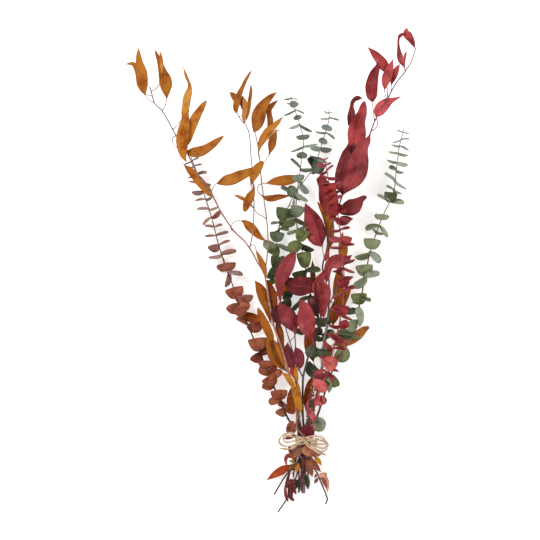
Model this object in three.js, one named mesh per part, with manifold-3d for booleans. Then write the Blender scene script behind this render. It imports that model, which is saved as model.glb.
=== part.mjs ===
// A bunch of dried, dyed eucalyptus, tied with raffia and lying on a surface.
//
// Millimetres. +Z is up, +Y runs along the stems towards the leaf tips, and the origin is on the
// surface, under the middle of the tie. Each stem with its leaves is one grown piece, so it is one
// solid. The leaves are traced one by one: their lists say where each tip lies, how wide the blade
// is and how much of that width shows from above.

import * as THREE from 'three';
import { mergeVertices } from 'three/addons/utils/BufferGeometryUtils.js';
import Module from 'manifold-3d';

const wasm = await Module();
wasm.setup();
const { Manifold, Mesh } = wasm;

// ---- driving dimensions -------------------------------------------------------------------------

const BLADE = 1.2; // thickness of a leaf on its midrib; the edges are sharp
const CUT_RADIUS = 2.5; // radius of a stem where the raffia holds it
const STEM_STEP = 28; // length of one straight stretch of a stem
const STEM_SIDES = 5;
const PETIOLE_RADIUS = 0.75;
const FOLD = 0.12; // how far a blade's midrib lies below its edges, per half width
const ARCH = 0.04; // how far a blade bows up at its middle, per length
const CURL_RISE = 2; // how far a curved blade's middle lies over the line from root to tip
const SHORTEST_PETIOLE = 1.5;
const TWIST_LIMIT = 0.35; // a petiole that starts nearly along the blade's width starts level instead
const SMALL_LEAF = 18; // a leaf shorter than this has a simpler outline
const MERGE_WITHIN = 0.2; // corners of a joined solid that lie closer than this become one

// Where the raffia holds them the stems run parallel, stacked in rows.
const TIE = { from: -6, to: 9, pitch: 5.5, floor: 5.2, row: 4.8 };
const WRAP = { y: 1, centre: 11.9, halfWidth: 12.1, halfHeight: 11.2, cord: 1.5, turns: 3, steps: 20 };
const KNOT = { x: -1.5, y: 1, z: 28.3, halfLength: 6, halfWidth: 4.5, halfHeight: 2.9 };
const STRAND = 1; // radius of one raffia strand
const SEED = { length: 6, radius: 2.6 };

// Outlines: how wide a blade is along its length, as [distance from root, half width].
const OUTLINES = {
  lance: [[0, 0.08], [0.3, 0.88], [0.66, 0.84], [1, 0]],
  broad: [[0, 0.06], [0.24, 0.82], [0.5, 1], [0.8, 0.64], [1, 0]],
  round: [[0, 0.07], [0.42, 0.96], [0.82, 0.8], [1, 0]],
  fan: [[0, 0.07], [0.6, 0.96], [1, 0.55]],
  bud: [[0, 0.08], [0.55, 1], [1, 0]],
};

// ---- solids -------------------------------------------------------------------------------------

// Skins a row of rings into one closed geometry. A last ring of one point makes a pointed end.
function loft(rings) {
  const positions = rings.flat().flatMap((p) => [p.x, p.y, p.z]);
  const index = [];
  const sides = rings[0].length;
  const last = rings.length - 1;
  for (let i = 0; i < last; i++) {
    const a = i * sides;
    const b = a + sides;
    for (let j = 0; j < sides; j++) {
      const k = (j + 1) % sides;
      if (rings[i + 1].length === 1) index.push(a + j, a + k, b);
      else index.push(a + j, a + k, b + k, a + j, b + k, b + j);
    }
  }
  for (let j = 1; j < sides - 1; j++) {
    index.push(0, j + 1, j);
    const end = last * sides;
    if (rings[last].length > 1) index.push(end, end + j, end + j + 1);
  }
  const geometry = new THREE.BufferGeometry();
  geometry.setAttribute('position', new THREE.Float32BufferAttribute(positions, 3));
  geometry.setIndex(index);
  return geometry;
}

function solid(geometry) {
  const bare = geometry.clone();
  bare.deleteAttribute('normal');
  bare.deleteAttribute('uv');
  const merged = mergeVertices(bare, 1e-5);
  const mesh = new Mesh({
    numProp: 3,
    vertProperties: new Float32Array(merged.attributes.position.array),
    triVerts: new Uint32Array(merged.index.array),
  });
  return new Manifold(mesh);
}

function geometryOf(manifold) {
  const { vertProperties, triVerts, numProp } = manifold.getMesh();
  const positions = [];
  for (let i = 0; i < vertProperties.length; i += numProp) {
    positions.push(vertProperties[i], vertProperties[i + 1], vertProperties[i + 2]);
  }
  const geometry = new THREE.BufferGeometry();
  geometry.setAttribute('position', new THREE.Float32BufferAttribute(positions, 3));
  geometry.setIndex([...triVerts]);
  geometry.computeVertexNormals();
  return geometry;
}

function joined(solids) {
  const whole = solids.reduce((sum, next) => sum.add(next));
  return whole.asOriginal().simplify(MERGE_WITHIN);
}

// Two directions across a tangent: `flat` lies level, `up` leans towards +Z.
function across(tangent) {
  const flat = new THREE.Vector3(-tangent.y, tangent.x, 0);
  if (flat.length() < 1e-6) flat.set(-1, 0, 0);
  flat.normalize();
  return { flat, up: new THREE.Vector3().crossVectors(tangent, flat) };
}

function ringAround(centre, tangent, radius, sides) {
  const { flat, up } = across(tangent);
  return Array.from({ length: sides }, (_, i) => {
    const turn = (2 * Math.PI * i) / sides;
    return centre.clone()
      .addScaledVector(flat, radius * Math.cos(turn))
      .addScaledVector(up, radius * Math.sin(turn));
  });
}

function tube(points, startRadius, endRadius, sides = STEM_SIDES) {
  const last = points.length - 1;
  const rings = points.map((point, i) => {
    const before = points[Math.max(i - 1, 0)];
    const after = points[Math.min(i + 1, last)];
    const tangent = new THREE.Vector3().subVectors(after, before).normalize();
    return ringAround(point, tangent, THREE.MathUtils.lerp(startRadius, endRadius, i / last), sides);
  });
  return solid(loft(rings));
}

// A blade: lens-shaped across, arched along the curve root-via-tip, rolled about its own length.
// With `start`, a petiole runs from there to the root.
function blade({ start, root, tip, via, width, roll, outline }) {
  const bowed = root.clone().lerp(tip, 0.5).add(new THREE.Vector3(0, 0, ARCH * root.distanceTo(tip)));
  const middle = via ?? bowed;
  const control = middle.clone().multiplyScalar(2).addScaledVector(root, -0.5).addScaledVector(tip, -0.5);
  const spine = new THREE.QuadraticBezierCurve3(root, control, tip);
  const sideAt = (tangent) => {
    const { flat, up } = across(tangent);
    return flat.multiplyScalar(Math.cos(roll)).addScaledVector(up, Math.sin(roll));
  };
  const lens = (point, tangent, side, half, sink) => {
    const face = new THREE.Vector3().crossVectors(tangent, side).normalize();
    const rib = point.clone().addScaledVector(face, -sink);
    return [
      point.clone().addScaledVector(side, half),
      rib.clone().addScaledVector(face, BLADE / 2),
      point.clone().addScaledVector(side, -half),
      rib.clone().addScaledVector(face, -BLADE / 2),
    ];
  };
  const rings = OUTLINES[outline].map(([at, fraction]) => {
    const point = spine.getPoint(at);
    const tangent = spine.getTangent(at);
    const half = Math.max((fraction * width) / 2, PETIOLE_RADIUS);
    return fraction === 0 ? [point] : lens(point, tangent, sideAt(tangent), half, FOLD * fraction * half);
  });
  if (start) {
    const along = new THREE.Vector3().subVectors(root, start).normalize();
    const side = sideAt(spine.getTangent(0));
    side.addScaledVector(along, -side.dot(along));
    if (side.length() < TWIST_LIMIT) side.copy(across(along).flat);
    rings.unshift(lens(start, along, side.normalize(), PETIOLE_RADIUS, 0));
  }
  return solid(loft(rings));
}

// ---- stems and leaves ---------------------------------------------------------------------------

// A stem is a row of [x, y, z] points from its cut end to its tip. Where it runs through the tie it
// keeps to its slot, given as [column, row] of the stacked stems.
function stem({ above, below, slot, radius = CUT_RADIUS, tip = 0.8 }) {
  const inTie = [TIE.from, (TIE.from + TIE.to) / 2, TIE.to].map((y) => (
    [slot[0] * TIE.pitch, y, TIE.floor + slot[1] * TIE.row]
  ));
  const route = [...below.toReversed(), ...inTie, ...above].map((p) => new THREE.Vector3(...p));
  const curve = new THREE.CatmullRomCurve3(route, false, 'centripetal');
  const line = curve.getSpacedPoints(Math.max(3, Math.round(curve.getLength() / STEM_STEP)));
  line.push(...route.slice(below.length, below.length + inTie.length));
  line.sort((p, q) => curveOrder(curve, p) - curveOrder(curve, q));
  return { line, radius, tip };
}

// How far along a curve its nearest point to p is, from 0 to 1.
function curveOrder(curve, p) {
  let best = 0;
  let nearest = Infinity;
  for (let i = 0; i <= 400; i++) {
    const gap = curve.getPoint(i / 400).distanceToSquared(p);
    if (gap < nearest) {
      nearest = gap;
      best = i / 400;
    }
  }
  return best;
}

// The point of a stem's line that lies nearest to [x, y], as seen from above.
function nearestOn(stems, [x, y]) {
  let best = null;
  let nearest = Infinity;
  for (const { line } of stems) {
    for (let i = 1; i < line.length; i++) {
      const [a, b] = [line[i - 1], line[i]];
      const run = new THREE.Vector2(b.x - a.x, b.y - a.y);
      const t = THREE.MathUtils.clamp(((x - a.x) * run.x + (y - a.y) * run.y) / run.lengthSq(), 0.02, 0.98);
      const point = a.clone().lerp(b, t);
      const gap = Math.hypot(point.x - x, point.y - y);
      if (gap < nearest) {
        nearest = gap;
        best = point;
      }
    }
  }
  return best;
}

// The point where a stem's line passes a given y.
function atY({ line }, y) {
  for (let i = 1; i < line.length; i++) {
    const [a, b] = [line[i - 1], line[i]];
    if (a.y <= y && b.y >= y) return a.clone().lerp(b, (y - a.y) / (b.y - a.y));
  }
  return line.at(-1).clone();
}

// A twig forks from the stem at its first point.
function twig(parents, points, radius = 1.1, tip = 0.7) {
  const start = nearestOn(parents, points[0]);
  const route = [start, ...points.slice(1).map((p) => new THREE.Vector3(...p))];
  const curve = new THREE.CatmullRomCurve3(route, false, 'centripetal');
  const line = curve.getSpacedPoints(Math.max(2, Math.round(curve.getLength() / STEM_STEP)));
  return { line, radius, tip };
}

const rollFor = (seen, width) => Math.acos(Math.min(seen / width, 1));

// One traced leaf: it leaves the stem near `from`, its blade runs root-via-tip, `width` across, and
// `seen` is how much of that width shows from above. `rise` is how far the tip lies over the root.
function tracedLeaf(stems, { from, root, via, tip, width, seen = width, rise = 2, z, outline = 'lance' }) {
  const start = nearestOn(stems, from ?? root);
  const [rootZ, tipZ] = z ?? [start.z, start.z + rise];
  const rootPoint = root && new THREE.Vector3(...root, rootZ);
  const hasPetiole = root && rootPoint.distanceTo(start) > SHORTEST_PETIOLE;
  return blade({
    start: hasPetiole ? start : null,
    root: hasPetiole ? rootPoint : start,
    via: via && new THREE.Vector3(...via, (rootZ + tipZ) / 2 + CURL_RISE),
    tip: new THREE.Vector3(...tip, tipZ),
    width,
    roll: rollFor(seen, width),
    outline,
  });
}

// Pairs of opposite round leaves, [height, left, right, width], each side [tip x, tip y, seen].
// The pairs lean to the front and to the back in turn, unless a side gives its own rise.
function pairs(main, rows, reach = 5) {
  return rows.flatMap(([at, left, right, width], i) => [left, right].flatMap((side, j) => {
    if (!side) return [];
    const root = atY(main, at);
    const length = Math.hypot(side[0] - root.x, side[1] - root.y);
    const lean = ((i + j) % 2 ? 1 : -1) * Math.min(reach, length * 0.4);
    const [x, y, seen, rise = lean] = side;
    const roll = ((i % 2) ? 1 : -1) * rollFor(seen, width);
    const outline = length < SMALL_LEAF ? 'bud' : 'round';
    return [blade({ root, tip: new THREE.Vector3(x, y, root.z + rise), width, roll, outline })];
  }));
}

// Pairs that stand to the front and back, [height, tip x, tip y, width, rise]: seen from above, the
// front leaf is a fan with its root at the stem, and the back leaf is its mirror image.
function frontPairs(main, rows) {
  return rows.flatMap(([at, x, y, width, rise]) => [rise, -rise].map((lean) => {
    const root = atY(main, at);
    const tip = new THREE.Vector3(x, y, Math.max(root.z + lean, -0.5));
    return blade({ root, tip, width, roll: 0, outline: width < SMALL_LEAF ? 'bud' : 'fan' });
  }));
}

function stemSolids(stems) {
  return stems.map(({ line, radius, tip }) => tube(line, radius, tip));
}

// What reaches below the surface is cut off flat, so the piece rests there.
function restOnSurface(piece) {
  const depth = 20;
  const slab = new THREE.BoxGeometry(1000, 1000, depth).translate(0, 200, -depth / 2);
  return piece.subtract(solid(slab));
}

// ---- orange willow eucalyptus -------------------------------------------------------------------

function willowLeft() {
  const main = stem({
    slot: [-1.5, 1],
    below: [[-11, -22, 9.5], [-14, -38, 9], [-16, -56, 7.5]],
    above: [
      [-9, 25, 13], [-12, 50, 21], [-17, 75, 27], [-22, 98, 32], [-26, 112, 34], [-32, 132, 35],
      [-38, 150, 36], [-45, 170, 36.5], [-49, 190, 37], [-53, 212, 37], [-56, 232, 36], [-60, 250, 35],
      [-70, 267, 34], [-78, 282, 33], [-90, 299, 32], [-101, 309, 32], [-110, 320, 31],
      [-125, 343, 31], [-137, 366, 32], [-150, 385, 33], [-163, 405, 34], [-175, 430, 35],
      [-191, 455, 36], [-213, 494, 38], [-224, 505, 39], [-229, 522, 40], [-232, 530, 41],
    ],
  });
  const leftTwig = twig([main], [
    [-81, 288], [-78, 305, 33], [-75, 345, 32], [-77, 395, 34], [-80, 432, 36], [-82, 458, 37],
    [-87, 472, 38], [-93, 478, 38], [-101, 491, 39],
  ]);
  const rightTwig = twig([main], [
    [-59, 248], [-55, 280, 33], [-54, 300, 32], [-56, 331, 30], [-60, 360, 29], [-64, 390, 29],
    [-67, 425, 32], [-70, 445, 33], [-74, 464, 34],
  ]);
  const stems = [main, leftTwig, rightTwig];
  const leaves = [
    { from: [-226, 508], root: [-238, 517], tip: [-248, 590], width: 17, rise: 6 },
    { from: [-228, 516], root: [-240, 521], via: [-248, 548], tip: [-267, 564], width: 10, rise: -5 },
    { from: [-213, 494], root: [-207, 511], tip: [-223, 586], width: 17, rise: 8 },
    { from: [-230, 526], root: [-219, 535], tip: [-215, 584], width: 8, seen: 6, rise: 3 },
    { from: [-195, 467], root: [-185, 481], via: [-174, 522], tip: [-181, 562], width: 15, rise: -4 },
    { from: [-170, 418], root: [-178, 420], tip: [-174, 496], width: 19, rise: 9 },
    { from: [-172, 425], root: [-178, 442], tip: [-147, 509], width: 17, rise: -4 },
    { from: [-175, 430], root: [-170, 433], tip: [-118, 458], width: 14, rise: 3 },
    { from: [-136, 363], root: [-140, 369], tip: [-179, 411], width: 15, rise: 6 },
    { from: [-137, 372], root: [-129, 384], tip: [-78, 407], width: 19, rise: 2 },
    { from: [-106, 316], root: [-95, 328], tip: [-55, 299], width: 15, rise: -2 },
    { root: [-101, 491], via: [-86, 521], tip: [-78, 556], width: 12, rise: 6 },
    { root: [-92, 478], via: [-95, 504], tip: [-112, 522], width: 11, rise: -6 },
    { from: [-86, 470], root: [-84, 488], tip: [-80, 533], width: 8, rise: 5 },
    { from: [-77, 375], root: [-79, 382], via: [-75, 402], tip: [-63, 416], width: 15, rise: 9 },
    { from: [-76, 384], root: [-75, 378], tip: [-88, 342], width: 15, rise: 6 },
    { from: [-60, 352], root: [-80, 355], tip: [-105, 367], width: 9, seen: 5, rise: 3 },
    { root: [-74, 464], tip: [-38, 522], width: 20, rise: 7 },
    { root: [-73, 460], tip: [-37, 502], width: 13, rise: -3 },
    { from: [-68, 437], root: [-56, 460], tip: [-55, 495], width: 13, rise: -8 },
    { from: [-68, 440], root: [-67, 447], tip: [-31, 486], width: 16, rise: 0 },
    { root: [-69, 432], via: [-55, 452], tip: [-38, 466], width: 11, rise: 6 },
    { from: [-65, 408], root: [-53, 431], tip: [-43, 465], width: 14, rise: 4 },
    { root: [-62, 368], tip: [-22, 367], width: 12, seen: 10, rise: -5 },
    { from: [-64, 382], root: [-57, 385], tip: [-16, 388], width: 15, rise: -5 },
    { from: [-46, 170], root: [-50, 178], tip: [-71, 239], width: 17, rise: -5 },
    { from: [-46, 174], root: [-44, 182], tip: [-57, 252], width: 17, rise: -9 },
    { from: [-48, 184], root: [-41, 188], tip: [-45, 232], width: 13, z: [28, 24] },
    { from: [-53, 212], root: [-44, 214], tip: [-19, 240], width: 12, z: [29, 44], seen: 11 },
    { from: [-38, 148], root: [-47, 148], tip: [-68, 198], width: 15, rise: -4 },
    { from: [-22, 98], root: [-25, 101], via: [-50, 128], tip: [-54, 168], width: 16, rise: 2 },
    { from: [-24, 104], root: [-27, 108], tip: [-43, 148], width: 10, rise: 5 },
    { from: [-26, 112], root: [-31, 108], tip: [-40, 178], width: 15, rise: -8 },
    { from: [-47, 177], root: [-57, 178], tip: [-99, 188], width: 14, z: [12, 4] },
    { from: [-12, 48], root: [-14, 50], via: [-20, 64], tip: [-17, 85], width: 14, z: [19, 20] },
    { from: [-13, -35], root: [-19, -39], tip: [-57, -61], width: 13, z: [8, 4] },
    { from: [-14, -34], root: [-11, -35], tip: [-10, -49], width: 7, z: [10, 9.5], outline: 'bud' },
    { from: [-14, -38], root: [-15, -40], tip: [-26, -45], width: 10, z: [6, 4], outline: 'bud' },
    { from: [-11, -26], root: [-14, -25], tip: [-23, -10], width: 8, z: [10, 11], outline: 'bud' },
  ];
  return joined([...stemSolids(stems), ...leaves.map((leaf) => tracedLeaf(stems, leaf))]);
}

function willowLow() {
  const main = stem({
    slot: [-0.5, 1],
    radius: 2.3,
    below: [[-3, -30, 9.5], [-4, -42, 9.5]],
    above: [[-5, 24, 15], [-7.5, 36, 20], [-9, 55, 27], [-11, 75, 32], [-14, 98, 34]],
  });
  const leaves = [
    { from: [-7, 34], root: [-8, 40], tip: [-11, 86], width: 13, z: [27, 40] },
    { from: [-11, 70], root: [-10, 84], tip: [-13, 111], width: 8, rise: 4 },
    { from: [-12, 72], root: [-17, 77], tip: [-33, 102], width: 9, z: [35, 39] },
    { root: [-14, 98], tip: [-22, 118], width: 8, z: [34, 30] },
  ];
  return joined([...stemSolids([main]), ...leaves.map((leaf) => tracedLeaf([main], leaf))]);
}

function willowBack() {
  const main = stem({
    slot: [0, 0],
    below: [[0, -30, 5.2], [-1, -80, 5.2]],
    above: [
      [4, 24, 6], [9, 36, 7], [15, 52, 9], [20, 72, 10], [25, 100, 12], [30, 130, 13.5],
      [33, 155, 15], [36, 185, 16], [38, 215, 18], [37, 250, 21], [37, 285, 23],
    ],
    tip: 1,
  });
  const fork = twig([main], [[37, 202], [46, 222, 20], [52, 240, 22], [56, 262, 24]]);
  const stems = [main, fork];
  const leaves = [
    { root: [37, 284], tip: [20, 357], width: 14, rise: 8 },
    { from: [37, 280], root: [38, 291], via: [45, 297], tip: [44, 309], width: 8, rise: 3 },
    { root: [56, 262], tip: [58, 313], width: 14, rise: 6 },
    { from: [41, 208], root: [47, 206], tip: [52, 264], width: 14, rise: -3 },
    { from: [37, 190], root: [40, 192], tip: [72, 232], width: 18, rise: -4 },
    { from: [35, 170], root: [43, 172], tip: [47, 208], width: 15, z: [11, 12] },
    { from: [30, 128], root: [41, 146], tip: [98, 170], width: 15, z: [2.5, 2.5] },
    { from: [24, 92], root: [15, 118], tip: [5, 170], width: 17, z: [13, 22] },
    { from: [37, 200], root: [24, 218], tip: [13, 270], width: 9, z: [16, 20] },
    { from: [9, 35], root: [3, 44], via: [2, 70], tip: [13, 97], width: 13, z: [12, 17] },
  ];
  return joined([...stemSolids(stems), ...leaves.map((leaf) => tracedLeaf(stems, leaf))]);
}

// ---- spiral eucalyptus --------------------------------------------------------------------------

function spiralBrown() {
  const main = stem({
    slot: [0.5, 3],
    below: [
      [4, -17, 19.3], [7, -28, 18.5], [12, -38, 15.5], [20, -50, 12], [24, -60, 10], [29, -72, 8],
      [33, -82, 6], [35, -90, 5], [32, -96, 4],
    ],
    above: [
      [-4, 15, 22], [-13, 20, 21], [-22, 29, 18.5], [-29, 43, 17.5], [-37, 62, 17], [-44, 77, 16.5],
      [-49, 91, 16],
      [-57, 110, 16], [-69, 137, 16], [-79, 160, 16], [-90, 185, 16.5], [-97, 201, 17],
      [-102, 215, 17], [-108, 235, 16.5], [-114, 250, 16], [-122, 273, 15.5], [-130, 300, 15.5],
      [-139, 335, 15.5], [-151, 372, 15.5], [-160, 400, 16], [-170, 425, 18],
    ],
  });
  const sidePairs = [
    [419, [-182, 414, 2], [-157, 422, 2], 7],
    [411, [-174, 409, 2], [-153, 412, 2], 8],
    [399, [-176, 394, 2], [-145, 400, 5], 10],
    [387, [-173, 390, 2], [-140, 383, 6], 12],
    [373, [-168, 372, 7], [-141, 377, 3], 13],
    [361, [-163, 357, 2], [-137, 367, 3], 14],
    [346, [-160, 344, 4], [-128, 352, 2], 15],
    [334, [-150, 321, 4], [-126, 345, 7], 15],
    [319, [-148, 319, 2], [-122, 321, 2], 17],
    [306, [-148, 303, 2], [-113, 309, 4], 17],
    [292, [-143, 288, 12], [-110, 297, 2], 18],
    [278, [-144, 276, 4], [-101, 280, 8], 19],
    [250, [-131, 246, 4], [-92, 248, 5], 20],
    [212, [-116, 214, 4], [-76, 216, 13], 21],
    [203, [-115, 195, 16], [-83, 195, 14], 20],
    [171, [-103, 180, 6], [-62, 173, 16], 22],
    [130, [-78, 119, 15], [-52, 131, 13], 20],
    [100, [-69, 103, 15], [-41, 107, 18], 22],
    [91, [-60, 77, 16], [-31, 101, 12], 20],
    [61, [-51, 52, 12], [-26, 51, 9], 19],
    [46, [-40, 39, 14], [-15, 38, 10], 18],
  ];
  const facing = [
    [254, -118, 268, 30, 12.5],
    [213, -106, 231, 28, 11],
    [186, -98, 197, 25, 11],
    [134, -71, 155, 28, 11],
    [108, -56, 121, 26, 10],
    [82, -55, 97, 24, 10],
    [61, -38, 77, 26, 10],
  ];
  const lowLeaves = [
    { from: [1, 11], tip: [-3, 24], width: 11, rise: 5, outline: 'round' },
    { from: [-10, 17], root: [-13, 12], tip: [-20, 30], width: 15, z: [21, 24], outline: 'round' },
    { from: [3, -12], root: [-4, -9], tip: [-12, -27], width: 17, z: [21, 19.5], outline: 'round' },
    { from: [4, -17], root: [-1, -18], tip: [21, -18], width: 16, z: [22, 21], outline: 'round' },
    { from: [7, -27], root: [6, -30], tip: [11, -54], width: 10, z: [15, 14] },
    { from: [9, -32], root: [13, -30], tip: [18, -44], width: 9, z: [19, 16] },
    { from: [13, -40], root: [16, -39], tip: [25, -48], width: 7, z: [14, 11], outline: 'bud' },
    { from: [24, -59], root: [22, -55], tip: [34, -51], width: 14, z: [12, 13], outline: 'round' },
    { from: [26, -64], root: [30, -60], tip: [35, -78], width: 8, z: [10, 7] },
    { from: [20, -51], root: [20, -52], tip: [17, -63], width: 7, z: [10, 7], outline: 'bud' },
  ];
  return restOnSurface(joined([
    ...stemSolids([main]),
    ...pairs(main, sidePairs),
    ...frontPairs(main, facing),
    blade({
      root: atY(main, 262), tip: new THREE.Vector3(-122, 262, -0.6), width: 24, roll: 0.2, outline: 'fan',
    }),
    ...lowLeaves.map((leaf) => tracedLeaf([main], leaf)),
  ]));
}

function spiralGreenCentre() {
  const main = stem({
    slot: [1, 0],
    below: [[6, -30, 5.2], [6, -72, 5.2]],
    radius: 2.3,
    above: [
      [9, 24, 10], [14, 45, 16], [21, 75, 23], [28, 108, 28], [30, 132, 30], [27, 158, 31],
      [20, 185, 32], [11, 215, 33], [4, 240, 34], [2, 258, 36], [-2, 280, 38], [-7, 300, 40],
      [-12, 335, 42], [-11, 365, 43], [-9, 380, 43], [-5, 410, 44], [-1, 450, 44], [-7, 475, 45],
      [-14, 496, 46], [-20, 517, 48],
    ],
  });
  const sidePairs = [
    [513, [-30, 512, 2], [-9, 509, 2], 6],
    [505, [-26, 506, 3], [-7, 502, 3], 7],
    [495, [-31, 488, 2], [0, 488, 2], 10],
    [474, [-23, 469, 4], [13, 464, 4], 13],
    [441, [-21, 434, 2], [20, 446, 2], 15],
    [407, [-22, 420, 3], [14, 408, 5], 18],
    [371, [-22, 381, 13], [7, 360, 5], 18],
    [333, [-26, 328, 3], [8, 324, 6], 19],
    [313, [-23, 306, 5], [10, 318, 4], 19],
    [295, [-22, 281, 18], [15, 286, 8], 20],
    [253, [-17, 248, 12], [25, 252, 9], 20],
    [214, [-6, 205, 6], [29, 222, 6], 20],
    [152, [14, 160, 8], [47, 160, 12], 20],
    [99, [11, 104, 6], [45, 96, 11, 4], 20],
    [54, [6, 58, 12, -3], [29, 54, 7, 3], 14],
  ];
  const facing = [
    [481, -11, 489, 13, 8],
    [451, -2, 460, 21, 11],
    [423, -3, 434, 17, 10],
    [388, -9, 400, 19, 10],
    [336, -8, 353, 21, 9],
    [299, 0, 317, 21, 9],
    [259, -1, 283, 22, 8],
    [231, 5, 246, 21, 11],
    [200, 16, 218, 21, 10],
    [171, 27, 184, 23, 10],
    [121, 33, 138, 24, 11],
  ];
  const pale = { from: [22, 76], tip: [32, 92], width: 21, rise: 9, outline: 'fan' };
  return joined([
    ...stemSolids([main]), ...pairs(main, sidePairs), ...frontPairs(main, facing), tracedLeaf([main], pale),
  ]);
}

function spiralGreenBack() {
  const main = stem({
    slot: [-1, 0],
    below: [[-7, -30, 5.2], [-8, -74, 5.2]],
    radius: 2.2,
    above: [
      [-7, 30, 7], [-9, 60, 9], [-11, 90, 11], [-12, 125, 13], [-15, 165, 15], [-25, 200, 16],
      [-35, 225, 16], [-42, 250, 16], [-43, 278, 16], [-42, 292, 16], [-39, 310, 16], [-33, 335, 16],
      [-25, 347, 16], [-15, 368, 15.5], [-5, 382, 15.5], [5, 395, 16], [12, 405, 16], [19, 420, 17],
      [25, 438, 17], [30, 455, 18], [34, 467, 19], [38, 485, 21], [36, 494, 22],
    ],
  });
  const sidePairs = [
    [490, [30, 494, 2], [43, 491, 2], 5],
    [483, [24, 483, 2], [52, 478, 2], 8],
    [461, [17, 464, 2], [45, 450, 3], 11],
    [438, [9, 441, 8], [41, 436, 8], 14],
    [424, [9, 427, 5], [35, 418, 4], 15],
    [409, [5, 420, 6], [30, 408, 14], 17],
    [384, [-18, 390, 4], [8, 371, 9], 17],
    [368, [-36, 377, 6], [-2, 362, 4], 17],
    [337, [-41, 341, 14], [-16, 340, 8], 18],
    [326, [-49, 322, 2], [-12, 332, 15], 20],
    [316, [-48, 312, 3], [-23, 313, 5], 17],
    [292, [-61, 297, 14], [-24, 281, 6], 20],
    [262, [-54, 243, 13], [-27, 272, 6], 20],
    [240, [-53, 230, 9], [-28, 248, 5], 18],
    [226, [-46, 221, 4], [-17, 219, 15], 20],
    [194, [-36, 188, 4], [-5, 212, 6], 20],
    [163, null, [-1, 157, 10], 20],
  ];
  const facing = [
    [465, 36, 474, 17, 7],
    [445, 31, 454, 14, 8],
    [349, -22, 363, 18, 9],
    [298, -40, 314, 22, 10],
    [258, -38, 277, 21, 10],
    [197, -32, 210, 22, 10],
    [175, -16, 190, 20, 9],
  ];
  const droop = { root: [-42, 291], tip: [-48, 277], width: 20, rise: 9, outline: 'fan' };
  const scrap = { root: [-8, -60], tip: [-12, -74], width: 11, z: [5.2, 3.5], outline: 'fan' };
  return joined([
    ...stemSolids([main]), ...pairs(main, sidePairs), ...frontPairs(main, facing),
    tracedLeaf([main], droop), tracedLeaf([main], scrap),
  ]);
}

function spiralGreenRight() {
  const main = stem({
    slot: [1.5, 1],
    radius: 2.3,
    below: [[8, -28, 9.8], [6, -52, 10]],
    above: [
      [16, 26, 11], [23, 45, 13], [31, 70, 14.5], [39, 95, 16], [48, 115, 17], [57, 130, 17],
      [64, 142, 17], [70, 152, 17], [76, 163, 17], [80, 175, 17], [82, 190, 17], [83, 203, 17],
      [87, 220, 17], [90, 240, 16], [93, 252, 16], [98, 278, 15], [105, 300, 15], [112, 320, 15],
      [120, 340, 15], [127, 354, 15], [135, 375, 15], [138, 400, 15], [141, 425, 15],
      [143, 440, 15], [148, 460, 16], [149, 467, 17],
    ],
  });
  const sidePairs = [
    [462, [140, 466, 2], [157, 458, 2], 5],
    [451, [132, 447, 2], [158, 450, 2], 9],
    [441, [132, 444, 2], [156, 433, 2], 10],
    [431, [127, 434, 2], [156, 428, 4], 12],
    [417, [125, 421, 3], [156, 414, 6], 13],
    [405, [127, 407, 7], [150, 402, 3], 14],
    [388, [120, 398, 4], [155, 378, 2], 16],
    [375, [123, 379, 2], [147, 371, 2], 16],
    [358, [109, 366, 3], [150, 355, 8], 18],
    [321, [93, 313, 8], [122, 303, 5], 20],
    [281, [77, 275, 9], [113, 264, 12], 20],
    [244, [73, 231, 12], [114, 246, 10], 22],
    [212, [72, 207, 5], [99, 206, 5], 20],
    [194, [67, 192, 9], [90, 189, 8], 20],
    [166, [81, 198, 11], null, 24],
    [176, [57, 171, 15], [92, 181, 3], 20],
    [158, [51, 159, 9], [86, 154, 6], 22],
    [138, [50, 119, 21], null, 24],
    [97, [31, 99, 5], [50, 81, 16], 20],
    [62, [23, 64, 5], [38, 57, 5], 14],
  ];
  const facing = [
    [357, 131, 373, 20, 9],
    [331, 117, 341, 23, 11],
    [287, 103, 304, 26, 11],
    [247, 90, 265, 26, 11],
    [204, 82, 222, 24, 10],
  ];
  const lowest = {
    from: [16, 26], root: [12, 26], tip: [33, 22], width: 21, seen: 19, z: [15, 17], outline: 'round',
  };
  return restOnSurface(joined([
    ...stemSolids([main]),
    ...pairs(main, sidePairs),
    ...frontPairs(main, facing),
    blade({
      root: atY(main, 309), tip: new THREE.Vector3(110, 314, -0.6), width: 22, roll: 0.2, outline: 'fan',
    }),
    tracedLeaf([main], lowest),
  ]));
}

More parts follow.
